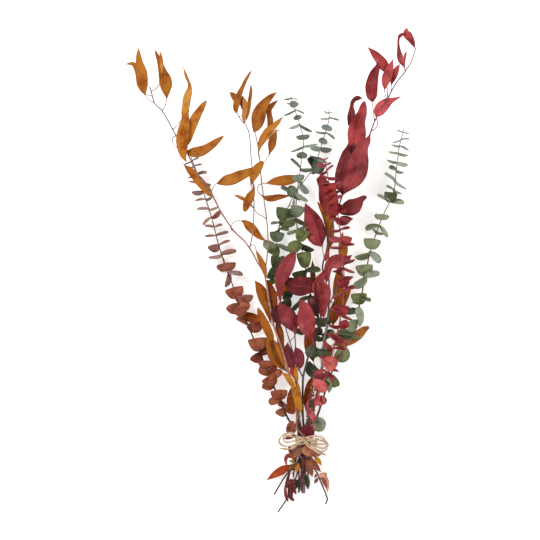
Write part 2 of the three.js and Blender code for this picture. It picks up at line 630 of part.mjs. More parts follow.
function spiralRed() {
  const main = stem({
    slot: [1, 2],
    radius: 2.3,
    below: [[4, -24, 14], [-2, -45, 13.5], [-14, -70, 12], [-27, -90, 9], [-39, -108, 6]],
    above: [
      [9, 24, 22], [13, 40, 29], [18, 58, 36], [24, 75, 42], [31, 92, 47], [38, 108, 51],
      [42, 125, 53], [45, 140, 55], [49, 155, 57], [52, 170, 59], [54, 180, 60], [57, 195, 62],
      [58, 205, 63], [59, 225, 65], [60, 245, 67], [58, 275, 68], [55, 305, 69], [52, 330, 69],
      [50, 345, 69], [44, 365, 70], [38, 385, 70], [33, 410, 71], [30, 424, 72],
    ],
  });
  const sidePairs = [
    [420, [24, 424, 2], [37, 423, 2], 4],
    [412, [20, 414, 7], [41, 414, 3], 9],
    [404, [23, 399, 3], [45, 411, 2], 10],
    [394, [24, 400, 3], [49, 394, 3], 10],
    [385, [20, 385, 2], [56, 388, 2], 12],
    [375, [28, 380, 6], [53, 373, 5], 13],
    [365, [30, 359, 7], [57, 368, 5], 14],
    [355, [33, 352, 6], [60, 351, 6], 14],
    [344, [36, 341, 6], [63, 340, 7], 15],
    [331, [37, 330, 5], [67, 325, 6], 15],
    [315, [36, 316, 2], [69, 316, 3], 16],
    [303, [37, 304, 9], [71, 300, 12], 17],
    [290, [36, 291, 2], [76, 291, 3], 18],
    [268, [41, 262, 9], [76, 272, 4], 17],
    [259, [42, 254, 3], [77, 253, 2], 18],
    [245, [50, 247, 5], [73, 245, 7], 17],
    [224, [40, 214, 2], [77, 226, 5], 19],
    [190, [37, 195, 2], [73, 182, 3], 18],
    [171, [37, 174, 4], [68, 171, 13], 18],
    [150, [34, 157, 4], [67, 146, 3], 18],
    [137, [31, 148, 7], [61, 133, 4], 18],
    [113, [23, 124, 5], [53, 104, 3], 20],
    [98, [14, 99, 7], [42, 88, 6], 18],
    [62, [7, 54, 6], [33, 59, 10], 12],
    [42, [4, 37, 8], [20, 30, 9], 14],
    [12, null, [15, 21, 11, 5], 12],
  ];
  const facing = [
    [229, 57, 244, 22, 10],
    [186, 57, 204, 24, 10],
    [149, 52, 158, 24, 11],
    [103, 40, 125, 26, 8],
  ];
  const loose = [
    { from: [23, 71], tip: [25, 93], width: 24, rise: 8, outline: 'fan' },
    { from: [16, 50], tip: [22, 66], width: 17, rise: 9, outline: 'fan' },
    { from: [-12, -66], root: [-20, -60], tip: [-17, -91], width: 11, z: [15, 12] },
  ];
  return joined([
    ...stemSolids([main]), ...pairs(main, sidePairs), ...frontPairs(main, facing),
    ...loose.map((leaf) => tracedLeaf([main], leaf)),
    capsule(atY(main, 125), SEED),
  ]);
}

// ---- red broad-leaved branch --------------------------------------------------------------------

function broadleaf() {
  const main = stem({
    slot: [0, 2],
    radius: 2.3,
    below: [[-5, -22, 15], [-14, -40, 14], [-25, -50, 11.5], [-45, -82, 6]],
    above: [
      [-1, 24, 20], [-2, 45, 25], [-2, 75, 31], [-1, 96, 34], [3, 112, 36], [7, 128, 38],
      [12, 140, 41], [16, 150, 43], [20, 165, 45], [24, 180, 46], [26, 190, 46], [22, 210, 47],
      [25, 228, 47], [29, 247, 47], [28, 262, 47], [34, 285, 47], [38, 310, 47], [45, 330, 46],
      [52, 350, 45], [58, 368, 45], [72, 400, 44], [84, 425, 44], [98, 457, 44], [106, 478, 45],
      [117, 498, 46], [126, 513, 46], [132, 525, 47], [140, 538, 48], [149, 549, 49], [160, 566, 50],
      [168, 588, 52],
    ],
  });
  const leftTwig = twig([main], [
    [-1, 93], [-10, 112, 39], [-19, 140, 43], [-26, 163, 46], [-31, 185, 48], [-36, 214, 49],
  ]);
  const stems = [main, leftTwig];
  const broad = 'broad';
  const leaves = [
    { from: [-7, 107], root: [-13, 108], tip: [-24, 146], width: 15, rise: 1, outline: broad },
    { from: [-5, 103], root: [-6, 107], tip: [-9, 138], width: 15, rise: 1, outline: broad },
    { from: [-21, 148], root: [-14, 161], tip: [-36, 204], width: 25, rise: 6, outline: broad },
    { from: [12, 140], root: [14, 150], tip: [-2, 211], width: 28, z: [48, 52], outline: broad },
    { from: [22, 212], root: [13, 222], tip: [-33, 243], width: 27, z: [51, 50], outline: broad },
    { from: [-34, 204], root: [-36, 205], via: [-36, 243], tip: [-17, 282], width: 25, z: [51, 56] },
    { from: [-34, 202], root: [-34, 197], tip: [-41, 172], width: 14, z: [47, 44] },
    { from: [25, 184], root: [30, 183], tip: [34, 234], width: 18, z: [49, 51] },
    { from: [25, 186], root: [24, 188], via: [17, 212], tip: [13, 238], width: 10, z: [49, 53] },
    { from: [26, 232], root: [27, 234], tip: [15, 252], width: 14, z: [51, 54], outline: broad },
    { from: [26, 234], root: [33, 237], via: [41, 266], tip: [71, 276], width: 17, z: [50, 52] },
    { from: [31, 273], root: [28, 290], tip: [2, 355], width: 29, z: [49, 53], outline: broad },
    { from: [35, 290], root: [36, 288], tip: [32, 269], width: 6, rise: 3 },
    { from: [43, 326], root: [48, 329], tip: [73, 332], width: 15, z: [49, 50], outline: broad },
    { from: [47, 335], root: [52, 345], tip: [93, 367], width: 24, z: [46, 47], outline: broad },
    { from: [43, 327], root: [45, 335], tip: [21, 394], width: 28, z: [50, 51], outline: broad },
    { root: [57, 367], tip: [66, 447], width: 30, rise: -5, outline: broad },
    { from: [56, 364], root: [60, 370], tip: [98, 457], width: 34, z: [50, 54], outline: broad },
    { from: [80, 418], root: [73, 432], tip: [91, 507], width: 26, rise: 1, outline: broad },
    { from: [86, 430], root: [72, 470], via: [71, 499], tip: [87, 513], width: 10, z: [40, 38] },
    { from: [106, 480], root: [101, 509], tip: [110, 565], width: 19, rise: 5, outline: broad },
    { from: [109, 484], root: [112, 486], tip: [147, 516], width: 20, rise: -5, outline: broad },
    { from: [124, 510], root: [122, 538], tip: [95, 590], width: 18, rise: 9, outline: broad },
    { from: [125, 512], root: [121, 527], tip: [134, 571], width: 18, rise: -3, outline: broad },
    { from: [131, 524], root: [131, 535], tip: [144, 565], width: 12, rise: 4 },
    { from: [152, 555], root: [150, 558], via: [139, 588], tip: [150, 611], width: 12, rise: 6 },
    { from: [152, 554], root: [153, 562], tip: [154, 584], width: 5, rise: 3 },
    { from: [167, 584], root: [166, 590], tip: [155, 619], width: 13, rise: 3 },
    { from: [-22, -48], root: [-24, -52], via: [-28, -72], tip: [-23, -93], width: 8, z: [8, 5] },
    { from: [-8, -30], root: [-14, -29], via: [-24, -23], tip: [-27, -36], width: 8, z: [15, 15] },
  ];
  return joined([...stemSolids(stems), ...leaves.map((leaf) => tracedLeaf(stems, leaf))]);
}

// ---- seed twig ----------------------------------------------------------------------------------

// A seed capsule is a small cup, widest near its open end.
function capsule(foot, { length, radius }) {
  const up = new THREE.Vector3(0.3, 0.6, 0.74).normalize();
  const shape = [[-0.3, 0.3], [0.25, 0.8], [0.7, 1], [1, 0.6]];
  return solid(loft(shape.map(([at, wide]) => (
    ringAround(foot.clone().addScaledVector(up, at * length), up, wide * radius, STEM_SIDES)
  ))));
}

function seedTwig() {
  const main = stem({
    slot: [0.5, 1],
    radius: 2.2,
    below: [[3.5, -18, 9.6], [2, -30, 9.6], [1, -46, 9.8]],
    above: [
      [6, 22, 13], [10, 40, 20], [13, 55, 26], [15, 72, 31], [18, 86, 36], [20, 93, 38],
    ],
    tip: 0.9,
  });
  const capsules = [[8, 31], [12, 50], [15, 66], [17, 75], [20, 89]];
  const leaves = [
    { from: [3.5, -17], root: [13, -21], tip: [24, -37], width: 10, z: [17, 13] },
    { from: [3.5, -15], root: [13, -19], tip: [26, -18], width: 8, z: [17, 17] },
  ];
  return joined([
    ...stemSolids([main]),
    ...capsules.map((spot) => capsule(nearestOn([main], spot), SEED)),
    ...leaves.map((leaf) => tracedLeaf([main], leaf)),
  ]);
}

// ---- raffia -------------------------------------------------------------------------------------

// The turns of raffia round the stems: an oval ring whose outside shows each turn as a ridge.
function wrap() {
  const { steps } = WRAP;
  const rings = Array.from({ length: steps }, (_, i) => {
    const turn = (2 * Math.PI * i) / steps;
    const outward = new THREE.Vector3(Math.cos(turn), 0, Math.sin(turn));
    const centre = new THREE.Vector3(
      WRAP.halfWidth * Math.cos(turn), WRAP.y, WRAP.centre + WRAP.halfHeight * Math.sin(turn),
    );
    const pitch = 2 * WRAP.cord;
    const half = (WRAP.turns * pitch) / 2;
    const profile = [[0, -half], [0, half]];
    for (let k = WRAP.turns - 1; k >= 0; k--) {
      const middle = (k - (WRAP.turns - 1) / 2) * pitch;
      profile.push([WRAP.cord, middle + WRAP.cord * 0.7], [1.3 * WRAP.cord, middle]);
      profile.push([WRAP.cord, middle - WRAP.cord * 0.7]);
    }
    return profile.map(([out, along]) => (
      centre.clone().addScaledVector(outward, out).add(new THREE.Vector3(0, along, 0))
    ));
  });
  const positions = rings.flat().flatMap((p) => [p.x, p.y, p.z]);
  const sides = rings[0].length;
  const index = [];
  for (let i = 0; i < steps; i++) {
    const a = i * sides;
    const b = ((i + 1) % steps) * sides;
    for (let j = 0; j < sides; j++) {
      const k = (j + 1) % sides;
      index.push(a + j, b + k, a + k, a + j, b + j, b + k);
    }
  }
  const geometry = new THREE.BufferGeometry();
  geometry.setAttribute('position', new THREE.Float32BufferAttribute(positions, 3));
  geometry.setIndex(index);
  return restOnSurface(solid(geometry));
}

function knot() {
  const lump = new THREE.SphereGeometry(1, 10, 6);
  lump.scale(KNOT.halfLength, KNOT.halfWidth, KNOT.halfHeight);
  lump.translate(KNOT.x, KNOT.y, KNOT.z);
  return solid(lump);
}

// The bow's strands, each a row of points from the knot out, and back to it on a loop.
const BOW = {
  raffia_loop_left: [
    [-8, 4, 28.1], [-15, 9, 29.6], [-22, 10.5, 30.1], [-30, 8, 29.6], [-36, 2.5, 28.6], [-37.5, -2, 28.1],
    [-35, -6.5, 27.6], [-29, -9.5, 27.6], [-21, -9.5, 28.1], [-14, -6.5, 28.1], [-8, -2.5, 28.1],
  ],
  raffia_loop_left_inner: [
    [-8, 0.8, 29.6], [-14, 4, 31.6], [-22, 6.5, 32.6], [-28.5, 6, 32.1], [-31, 2.5, 31.6], [-29, -1.5, 31.1],
    [-22, -3, 31.1], [-14, -1.5, 30.6], [-8.2, -0.7, 26.7],
  ],
  raffia_loop_right: [
    [5, 3.5, 28.1], [11, 5.5, 29.6], [18, 6, 30.1], [25, 4.5, 30.1], [31, 1, 29.6], [35, -4, 28.6],
    [35, -8.5, 28.1], [31, -11.5, 27.6], [25, -12, 27.6], [18, -8.5, 28.1], [11, -3.5, 28.1], [5.2, 0.2, 27.4],
  ],
  raffia_loop_right_inner: [
    [5.2, 1.9, 29.9], [12, 0.5, 32.4], [20, 0, 33.1], [27, -1, 33.1], [32.5, -3.3, 32.1], [30.5, -6, 31.6],
    [24, -6, 31.6], [15, -3.2, 31.4], [9, -1, 31.3], [4.2, -0.9, 30.7],
  ],
  raffia_tail_left: [
    [-6.5, -3.4, 27.1], [-13, -9.5, 27.6], [-22, -13.3, 27.1], [-30, -13.3, 26.1], [-37, -12.5, 24.6],
  ],
  raffia_tail_right: [[1, -4.2, 27.1], [7, -9.3, 29.6], [14, -14, 29.6], [22, -19, 27.1], [33, -22, 23.6]],
  raffia_tail_right_short: [
    [3.2, -3.1, 29.3], [10, -7.5, 31.7], [17, -12.5, 31.6], [24, -17, 30.1], [30, -16.5, 28.1],
    [35.5, -12.8, 26.6],
  ],
};

function strand(points) {
  const path = new THREE.CatmullRomCurve3(points.map((p) => new THREE.Vector3(...p)), false, 'centripetal');
  const section = new THREE.Shape();
  section.absarc(0, 0, STRAND, 0, 2 * Math.PI);
  const steps = Math.round(path.getLength() / (6 * STRAND));
  const geometry = new THREE.ExtrudeGeometry(section, { curveSegments: 4, steps, extrudePath: path });
  geometry.deleteAttribute('normal');
  geometry.deleteAttribute('uv');
  return mergeVertices(geometry, 1e-4);
}

// ---- assembly -----------------------------------------------------------------------------------

const material = (color, roughness) => new THREE.MeshStandardMaterial({ color, roughness, metalness: 0 });

const orangeLeaf = material('#b0691f', 0.6);
const rustLeaf = material('#9a5540', 0.75);
const greenLeaf = material('#5e6e45', 0.7);
const redLeaf = material('#a83640', 0.6);
const seedBrown = material('#6b5a48', 0.85);
const raffia = material('#d9b98e', 0.8);

const bunch = new THREE.Group();

function place(name, geometry, finish) {
  const mesh = new THREE.Mesh(geometry, finish);
  mesh.name = name;
  bunch.add(mesh);
}

place('willow_spray_left', geometryOf(willowLeft()), orangeLeaf);
place('willow_spray_low', geometryOf(willowLow()), orangeLeaf);
place('willow_spray_back', geometryOf(willowBack()), orangeLeaf);
place('spiral_spray_brown', geometryOf(spiralBrown()), rustLeaf);
place('spiral_spray_green_centre', geometryOf(spiralGreenCentre()), greenLeaf);
place('spiral_spray_green_back', geometryOf(spiralGreenBack()), greenLeaf);
place('spiral_spray_green_right', geometryOf(spiralGreenRight()), greenLeaf);
place('spiral_spray_red', geometryOf(spiralRed()), redLeaf);
place('broadleaf_branch_red', geometryOf(broadleaf()), redLeaf);
place('seed_twig', geometryOf(seedTwig()), seedBrown);
place('raffia_wrap', geometryOf(wrap()), raffia);
place('raffia_knot', geometryOf(knot()), raffia);
for (const [name, points] of Object.entries(BOW)) place(name, strand(points), raffia);

export default bunch;
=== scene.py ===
# A bunch of dried eucalyptus, tied with raffia and lying on a pale floor, seen from straight above.
# The lists give places in millimetres, as x, y or x, y, z, in the frame of the CAD part, and the outline
# of a leaf as rows of x, y and the leaf's width there.

import math
import random

import bpy
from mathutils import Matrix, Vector


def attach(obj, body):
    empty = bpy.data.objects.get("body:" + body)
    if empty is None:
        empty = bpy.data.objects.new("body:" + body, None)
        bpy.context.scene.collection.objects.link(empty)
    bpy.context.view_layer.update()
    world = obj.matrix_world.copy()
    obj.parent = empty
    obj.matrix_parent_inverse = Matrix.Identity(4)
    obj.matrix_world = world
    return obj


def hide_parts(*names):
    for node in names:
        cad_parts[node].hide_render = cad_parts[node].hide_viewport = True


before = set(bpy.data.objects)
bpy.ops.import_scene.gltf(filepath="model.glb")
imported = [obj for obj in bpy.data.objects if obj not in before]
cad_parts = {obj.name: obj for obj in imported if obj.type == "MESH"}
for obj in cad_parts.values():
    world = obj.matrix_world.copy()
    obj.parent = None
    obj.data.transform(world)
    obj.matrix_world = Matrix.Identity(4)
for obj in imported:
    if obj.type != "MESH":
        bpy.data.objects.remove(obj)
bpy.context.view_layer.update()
mm = 0.001


def tone(code):
    # a colour written as in a paint program, turned into the numbers that a shader takes
    parts = [int(code[i:i + 2], 16) / 255 for i in (1, 3, 5)]
    return [c / 12.92 if c < 0.04045 else ((c + 0.055) / 1.055) ** 2.4 for c in parts] + [1.0]


def blend(a, b, share):
    return [p + (q - p) * share for p, q in zip(a, b)]


def ramp(rows, at):
    # the colour at one height, from rows of (height, colour)
    for (low, a), (high, b) in zip(rows, rows[1:]):
        if at <= high:
            return blend(tone(a), tone(b), max((at - low) / (high - low), 0.0))
    return tone(rows[-1][1])


class Wire:
    # one socket of a node tree; sums on it add Math nodes
    def __init__(self, board, socket):
        self.board = board
        self.socket = socket

    def maths(self, operation, *others):
        return self.board.node("ShaderNodeMath", {"operation": operation}, [self, *others])

    def twin(self, name):
        return Wire(self.board, self.board.find(self.socket.node.outputs, name))

    def __add__(self, other):
        return self.maths("ADD", other)

    def __sub__(self, other):
        return self.maths("SUBTRACT", other)

    def __rsub__(self, other):
        return self.board.node("ShaderNodeMath", {"operation": "SUBTRACT"}, [other, self])

    def __mul__(self, other):
        return self.maths("MULTIPLY", other)

    def __pow__(self, other):
        return self.maths("POWER", other)

    def __abs__(self):
        return self.maths("ABSOLUTE")

    __radd__ = __add__
    __rmul__ = __mul__


class Board:
    # adds nodes to one tree
    def __init__(self, tree):
        self.tree = tree

    def find(self, sockets, key):
        if isinstance(key, int):
            return sockets[key]
        return next(s for s in sockets if s.enabled and key in (None, s.name))

    def node(self, kind, settings=None, sockets=(), out=None):
        made = self.tree.nodes.new(kind)
        for key, value in (settings or {}).items():
            setattr(made, key, value)
        for key, value in sockets.items() if isinstance(sockets, dict) else enumerate(sockets):
            socket = self.find(made.inputs, key)
            if isinstance(value, Wire):
                self.tree.links.new(value.socket, socket)
            else:
                socket.default_value = value
        return Wire(self, self.find(made.outputs, out))

    def vector(self, operation, *values):
        return self.node("ShaderNodeVectorMath", {"operation": operation}, list(values))

    def scaled(self, vector, factor):
        return self.node("ShaderNodeVectorMath", {"operation": "SCALE"}, {0: vector, "Scale": factor})

    def total(self, *vectors):
        whole = vectors[0]
        for part in vectors[1:]:
            whole = self.vector("ADD", whole, part)
        return whole

    def split(self, vector):
        x = self.node("ShaderNodeSeparateXYZ", {}, [vector], "X")
        return x, x.twin("Y"), x.twin("Z")

    def joinXyz(self, x, y, z):
        return self.node("ShaderNodeCombineXYZ", {}, [x, y, z])

    def between(self, value, low, high, to=(0.0, 1.0)):
        # 0 below `low`, 1 above `high` and a smooth ramp from one to the other
        return self.node(
            "ShaderNodeMapRange", {"interpolation_type": "SMOOTHSTEP"},
            {"Value": value, "From Min": low, "From Max": high, "To Min": to[0], "To Max": to[1]},
        )

    def noise(self, place, scale, detail=3.0, roughness=0.55):
        sizes = {"Vector": place, "Scale": scale, "Detail": detail, "Roughness": roughness}
        return self.node("ShaderNodeTexNoise", {}, sizes, "Fac")

    def paint(self, mask, a, b, how="MIX"):
        settings = {"data_type": "RGBA", "blend_type": how}
        return self.node("ShaderNodeMix", settings, {"Factor": mask, "A": a, "B": b}, "Result")


def geometryBoard(name, sizes):
    tree = bpy.data.node_groups.new(name, "GeometryNodeTree")
    tree.interface.new_socket("Geometry", in_out="INPUT", socket_type="NodeSocketGeometry")
    for label, kind in sizes.items():
        tree.interface.new_socket(label, in_out="INPUT", socket_type="NodeSocket" + kind)
    tree.interface.new_socket("Geometry", in_out="OUTPUT", socket_type="NodeSocketGeometry")
    board = Board(tree)
    given = tree.nodes.new("NodeGroupInput")
    return board, {s.name: Wire(board, s) for s in given.outputs if s.name}


def finishTree(board, geometry, material):
    geometry = board.node("GeometryNodeSetShadeSmooth", {}, {"Geometry": geometry})
    geometry = board.node("GeometryNodeRealizeInstances", {}, {"Geometry": geometry})
    geometry = board.node("GeometryNodeSetMaterial", {}, {"Geometry": geometry, "Material": material})
    end = board.tree.nodes.new("NodeGroupOutput")
    board.tree.links.new(geometry.socket, end.inputs["Geometry"])
    return board.tree


def named(board, name, kind="FLOAT"):
    return board.node("GeometryNodeInputNamedAttribute", {"data_type": kind}, {"Name": name}, "Attribute")


def stored(board, geometry, name, value, kind="FLOAT", domain="POINT"):
    return board.node(
        "GeometryNodeStoreNamedAttribute", {"data_type": kind, "domain": domain},
        {"Geometry": geometry, "Name": name, "Value": value},
    )


sheets = dict(
    columns=9, thickness=0.42, rib=0.25,  # columns across a usual leaf, and its millimetres
    crowding=1.35,  # the columns close up towards the rib
    sharpness=90.0, ragged=0.45, thinEdge=0.6, weld=0.00002, seam=0.000002,
)


def bladeTree():
    # a leaf blade along each line, from the attributes that its points carry
    board, given = geometryBoard("leafBlades", {
        "Columns": "Int", "Thickness": "Float", "Rib Height": "Float", "Material": "Material",
    })
    line = board.node("GeometryNodeMeshToCurve", {}, {"Mesh": given["Geometry"]})
    profile = board.node("GeometryNodeCurvePrimitiveLine", {}, {
        "Start": (-1.0, 0.0, 0.0), "End": (1.0, 0.0, 0.0),
    })
    profile = board.node("GeometryNodeResampleCurve", {}, {"Curve": profile, "Count": given["Columns"]})
    x, _, _ = board.split(board.node("GeometryNodeInputPosition"))
    across = x.maths("SIGN") * abs(x) ** sheets["crowding"]
    profile = stored(board, profile, "across", across)
    sheet = board.node("GeometryNodeCurveToMesh", {}, {"Curve": line, "Profile Curve": profile})

    u = named(board, "along")
    v = named(board, "across")
    half = named(board, "half")
    side = named(board, "side", "FLOAT_VECTOR")
    face = named(board, "face", "FLOAT_VECTOR")
    fold, cup, wave = board.split(named(board, "form", "FLOAT_VECTOR"))
    chance = named(board, "chance")
    sheet = stored(board, sheet, "blade", board.joinXyz(u, v, chance), "FLOAT_VECTOR")

    ragged = (u * 9.0 + chance * 40.0).maths("SINE") * 0.5
    ragged = ragged + (u * 21.0 + chance * 90.0 + v * 2.0).maths("SINE") * 0.3
    reach = v * half * (1.0 + ragged * wave * sheets["ragged"])
    ripple = (u * 13.0 + chance * 60.0 + v.maths("SIGN") * 1.7).maths("SINE") * v * v * wave
    rib = (v * v * -sheets["sharpness"]).maths("EXPONENT") * given["Rib Height"] * (1.0 - u) * 2.0
    lift = half * (abs(v) * fold + v * v * cup + ripple) - rib
    slip = v * v * named(board, "lobe") * -1.0
    place = board.total(
        named(board, "centre", "FLOAT_VECTOR"), board.scaled(side, reach), board.scaled(face, lift),
        board.scaled(named(board, "heading", "FLOAT_VECTOR"), slip),
    )
    sheet = board.node("GeometryNodeSetPosition", {}, {"Geometry": sheet, "Position": place})
    sheet = board.node("GeometryNodeMergeByDistance", {}, {"Geometry": sheet, "Distance": sheets["weld"]})
    sheet = board.node("GeometryNodeFlipFaces", {}, {"Mesh": sheet})

    thickness = given["Thickness"] * (1.0 - v * v * v * v * sheets["thinEdge"])
    upper = board.node("GeometryNodeExtrudeMesh", {"mode": "FACES"}, {
        "Mesh": sheet, "Offset": board.scaled(face, thickness), "Offset Scale": 1.0, "Individual": False,
    }, "Mesh")
    lower = board.node("GeometryNodeFlipFaces", {}, {"Mesh": sheet})
    upper = stored(board, upper, "under", 0.0, domain="FACE")
    lower = stored(board, lower, "under", 1.0, domain="FACE")
    both = board.tree.nodes.new("GeometryNodeJoinGeometry")
    for part in (lower, upper):
        board.tree.links.new(part.socket, both.inputs[0])
    whole = board.node("GeometryNodeMergeByDistance", {}, {
        "Geometry": Wire(board, both.outputs[0]), "Distance": sheets["seam"],
    })
    return finishTree(board, whole, given["Material"])


def tubeTree():
    # a round or flattened tube along each line
    board, given = geometryBoard("tubes", {
        "Sides": "Int", "Flatness": "Float", "Twist": "Float",
        "Ridge Depth": "Float", "Ridge Size": "Float", "Material": "Material",
    })
    line = board.node("GeometryNodeMeshToCurve", {}, {"Mesh": given["Geometry"]})
    run = board.node("GeometryNodeSplineParameter", {}, {}, "Length")
    line = stored(board, line, "run", run)
    line = board.node("GeometryNodeSetCurveTilt", {}, {"Curve": line, "Tilt": run * given["Twist"]})
    ring = board.node("GeometryNodeCurvePrimitiveCircle", {}, {
        "Resolution": given["Sides"], "Radius": 1.0,
    }, "Curve")
    ring = stored(board, ring, "section", board.node("GeometryNodeInputPosition"), "FLOAT_VECTOR")
    ring = board.node("GeometryNodeTransform", {}, {
        "Geometry": ring, "Scale": board.joinXyz(1.0, given["Flatness"], 1.0),
    })
    tube = board.node("GeometryNodeCurveToMesh", {}, {
        "Curve": line, "Profile Curve": ring, "Scale": named(board, "thick"), "Fill Caps": True,
    })
    sx, sy, _ = board.split(named(board, "section", "FLOAT_VECTOR"))
    grainPlace = board.joinXyz(sx, sy, named(board, "run") * given["Ridge Size"])
    ridge = board.noise(grainPlace, 2.2, 2.0, 0.5)
    normal = board.node("GeometryNodeInputNormal", {}, {}, "Normal")
    tube = board.node("GeometryNodeSetPosition", {}, {
        "Geometry": tube, "Offset": board.scaled(normal, (ridge - 0.5) * 2.0 * given["Ridge Depth"]),
    })
    return finishTree(board, tube, given["Material"])


def pointMesh(name, points, edges, floats, vectors, colours):
    mesh = bpy.data.meshes.new(name)
    mesh.from_pydata([tuple(p) for p in points], edges, [])
    tables = (
        ("FLOAT", "value", floats), ("FLOAT_VECTOR", "vector", vectors), ("FLOAT_COLOR", "color", colours),
    )
    for kind, field, table in tables:
        for key, values in table.items():
            flat = [x for value in values for x in value] if kind != "FLOAT" else list(values)
            mesh.attributes.new(key, kind, "POINT").data.foreach_set(field, flat)
    return mesh


# attributes that only the trees read
treeNames = ("along", "across", "half", "side", "face", "heading", "centre", "form", "lobe", "thick", "size")


def grown(name, mesh, tree, sizes):
    # runs a geometry tree on the mesh and keeps the result as a plain mesh
    seedling = bpy.data.objects.new(name + "Source", mesh)
    bpy.context.scene.collection.objects.link(seedling)
    modifier = seedling.modifiers.new("grow", "NODES")
    modifier.node_group = tree
    for item in tree.interface.items_tree:
        if item.name in sizes:
            modifier[item.identifier] = sizes[item.name]
    graph = bpy.context.evaluated_depsgraph_get()
    result = bpy.data.meshes.new_from_object(
        seedling.evaluated_get(graph), preserve_all_data_layers=True, depsgraph=graph,
    )
    bpy.data.objects.remove(seedling)
    for spare in treeNames:
        if spare in result.attributes:
            result.attributes.remove(result.attributes[spare])
    result.name = name
    piece = bpy.data.objects.new(name, result)
    bpy.context.scene.collection.objects.link(piece)
    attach(piece, "root")
    return piece


def smoothLine(points, step):
    # a smooth line through the points, in metres, with a point about every `step` millimetres
    stops = [Vector(p) for p in points]
    stops = [stops[0] * 2 - stops[1], *stops, stops[-1] * 2 - stops[-2]]
    line = []
    for a, b, c, d in zip(stops, stops[1:], stops[2:], stops[3:]):
        gaps = [max((q - p).length, 1e-6) ** 0.5 for p, q in ((a, b), (b, c), (c, d))]
        t0, t1 = 0.0, gaps[0]
        t2 = t1 + gaps[1]
        t3 = t2 + gaps[2]
        count = max(1, round((c - b).length / step))
        for i in range(count):
            t = t1 + (t2 - t1) * i / count
            ab = a.lerp(b, (t - t0) / (t1 - t0))
            bc = b.lerp(c, (t - t1) / (t2 - t1))
            cd = c.lerp(d, (t - t2) / (t3 - t2))
            abc = ab.lerp(bc, (t - t0) / (t2 - t0))
            bcd = bc.lerp(cd, (t - t1) / (t3 - t1))
            line.append(abc.lerp(bcd, (t - t1) / (t2 - t1)) * mm)
    line.append(stops[-2] * mm)
    return line


def nearestOn(lines, spot):
    # the point of the lines nearest to x, y as seen from above
    best = None
    nearest = math.inf
    for line in lines:
        for a, b in zip(line, line[1:]):
            run = (b - a).xy
            share = min(max((Vector(spot) * mm - a.xy).dot(run) / max(run.length_squared, 1e-12), 0.0), 1.0)
            point = a.lerp(b, share)
            gap = (point.xy - Vector(spot) * mm).length
            if gap < nearest:
                nearest = gap
                best = point
    return best


def atY(line, y):
    # where the line passes the height y on its way up
    for a, b in zip(line, line[1:]):
        if a.y <= y * mm <= b.y:
            return a.lerp(b, (y * mm - a.y) / (b.y - a.y))
    return line[-1].copy()


def newMaterial(name):
    material = bpy.data.materials.new(name)
    material.use_nodes = True
    board = Board(material.node_tree)
    shader = material.node_tree.nodes["Principled BSDF"]
    return material, board, shader


def attribute(board, name, out="Fac"):
    return board.node("ShaderNodeAttribute", {"attribute_name": name}, {}, out)


def plantMaterial(name, facts):
    # what the finishes of the bunch share: the place, the piece's own tint, and that tint darker and lighter
    material, board, shader = newMaterial(name)
    place = board.node("ShaderNodeTexCoord", {}, {}, "Object")
    tint = attribute(board, "tint", "Color")
    dark = board.paint(1.0, tint, facts["dark"], "MULTIPLY")
    light = board.paint(facts["lightShare"], tint, facts["light"])
    return material, board, shader, place, tint, dark, light


def dress(board, shader, colour, roughness, height, facts):
    # the colour, roughness and bump of a finish go to its shader
    bump = board.node("ShaderNodeBump", {}, {
        "Strength": facts["bump"], "Distance": facts["depth"], "Height": height,
    }, "Normal")
    for name, wire in (("Base Color", colour), ("Roughness", roughness), ("Normal", bump)):
        board.tree.links.new(wire.socket, shader.inputs[name])
    shader.inputs["Specular IOR Level"].default_value = facts["gloss"]


def leafMaterial(name, facts):
    material, board, shader, place, tint, dark, light = plantMaterial(name, facts)
    u, v, _ = board.split(attribute(board, "blade", "Vector"))
    edge = abs(v)
    under = attribute(board, "under")
    chance = attribute(board, "chance")
    cloud = board.noise(place, facts["cloudSize"], 3.0, 0.6)
    fine = board.noise(place, facts["grainSize"], 2.0, 0.7)
    bend = (board.noise(place, facts["bendSize"], 2.0) - 0.5) * 0.8

    rib = 1.0 - board.between(edge, facts["ribWidth"] * 0.4, facts["ribWidth"] * 1.5)
    rib = rib * (1.0 - u * 0.6)
    lane = u * facts["veinCount"] - edge * facts["veinSlope"] + bend + chance * 3.0
    vein = 1.0 - board.between(lane.maths("PINGPONG", 0.5), 0.02, 0.16)
    vein = vein * (1.0 - board.between(edge, 0.75, 0.98))
    margin = board.between(edge + (cloud - 0.5) * 0.3, 0.72, 1.05)
    ends = board.between(abs(u - 0.5) * 2.0 + (cloud - 0.5) * 0.3, 0.72, 1.05)
    speck = board.between(board.noise(place, facts["speckSize"], 1.0), 0.66, 0.74)

    colour = board.paint(board.between(cloud, 0.28, 0.56), dark, tint)
    colour = board.paint(board.between(cloud, 0.56, 0.8) * 0.8, colour, light)
    colour = board.paint(board.between(fine, 0.45, 0.75) * facts["grain"], colour, dark)
    colour = board.paint(vein * facts["veinShade"], colour, facts["veinTone"])
    colour = board.paint(rib * facts["ribShade"], colour, facts["ribTone"])
    colour = board.paint(margin * facts["marginShade"], colour, dark)
    colour = board.paint(ends * facts["endShade"], colour, dark)
    colour = board.paint(speck * 0.25, colour, dark)
    colour = board.paint(under * facts["underShare"], colour, facts["underTone"])

    roughness = facts["roughness"] + (cloud - 0.5) * 0.25 + (fine - 0.5) * 0.15
    dress(board, shader, colour, roughness, cloud * 0.5 + fine * 0.35 - vein * 0.5 - rib * 0.8, facts)
    return material


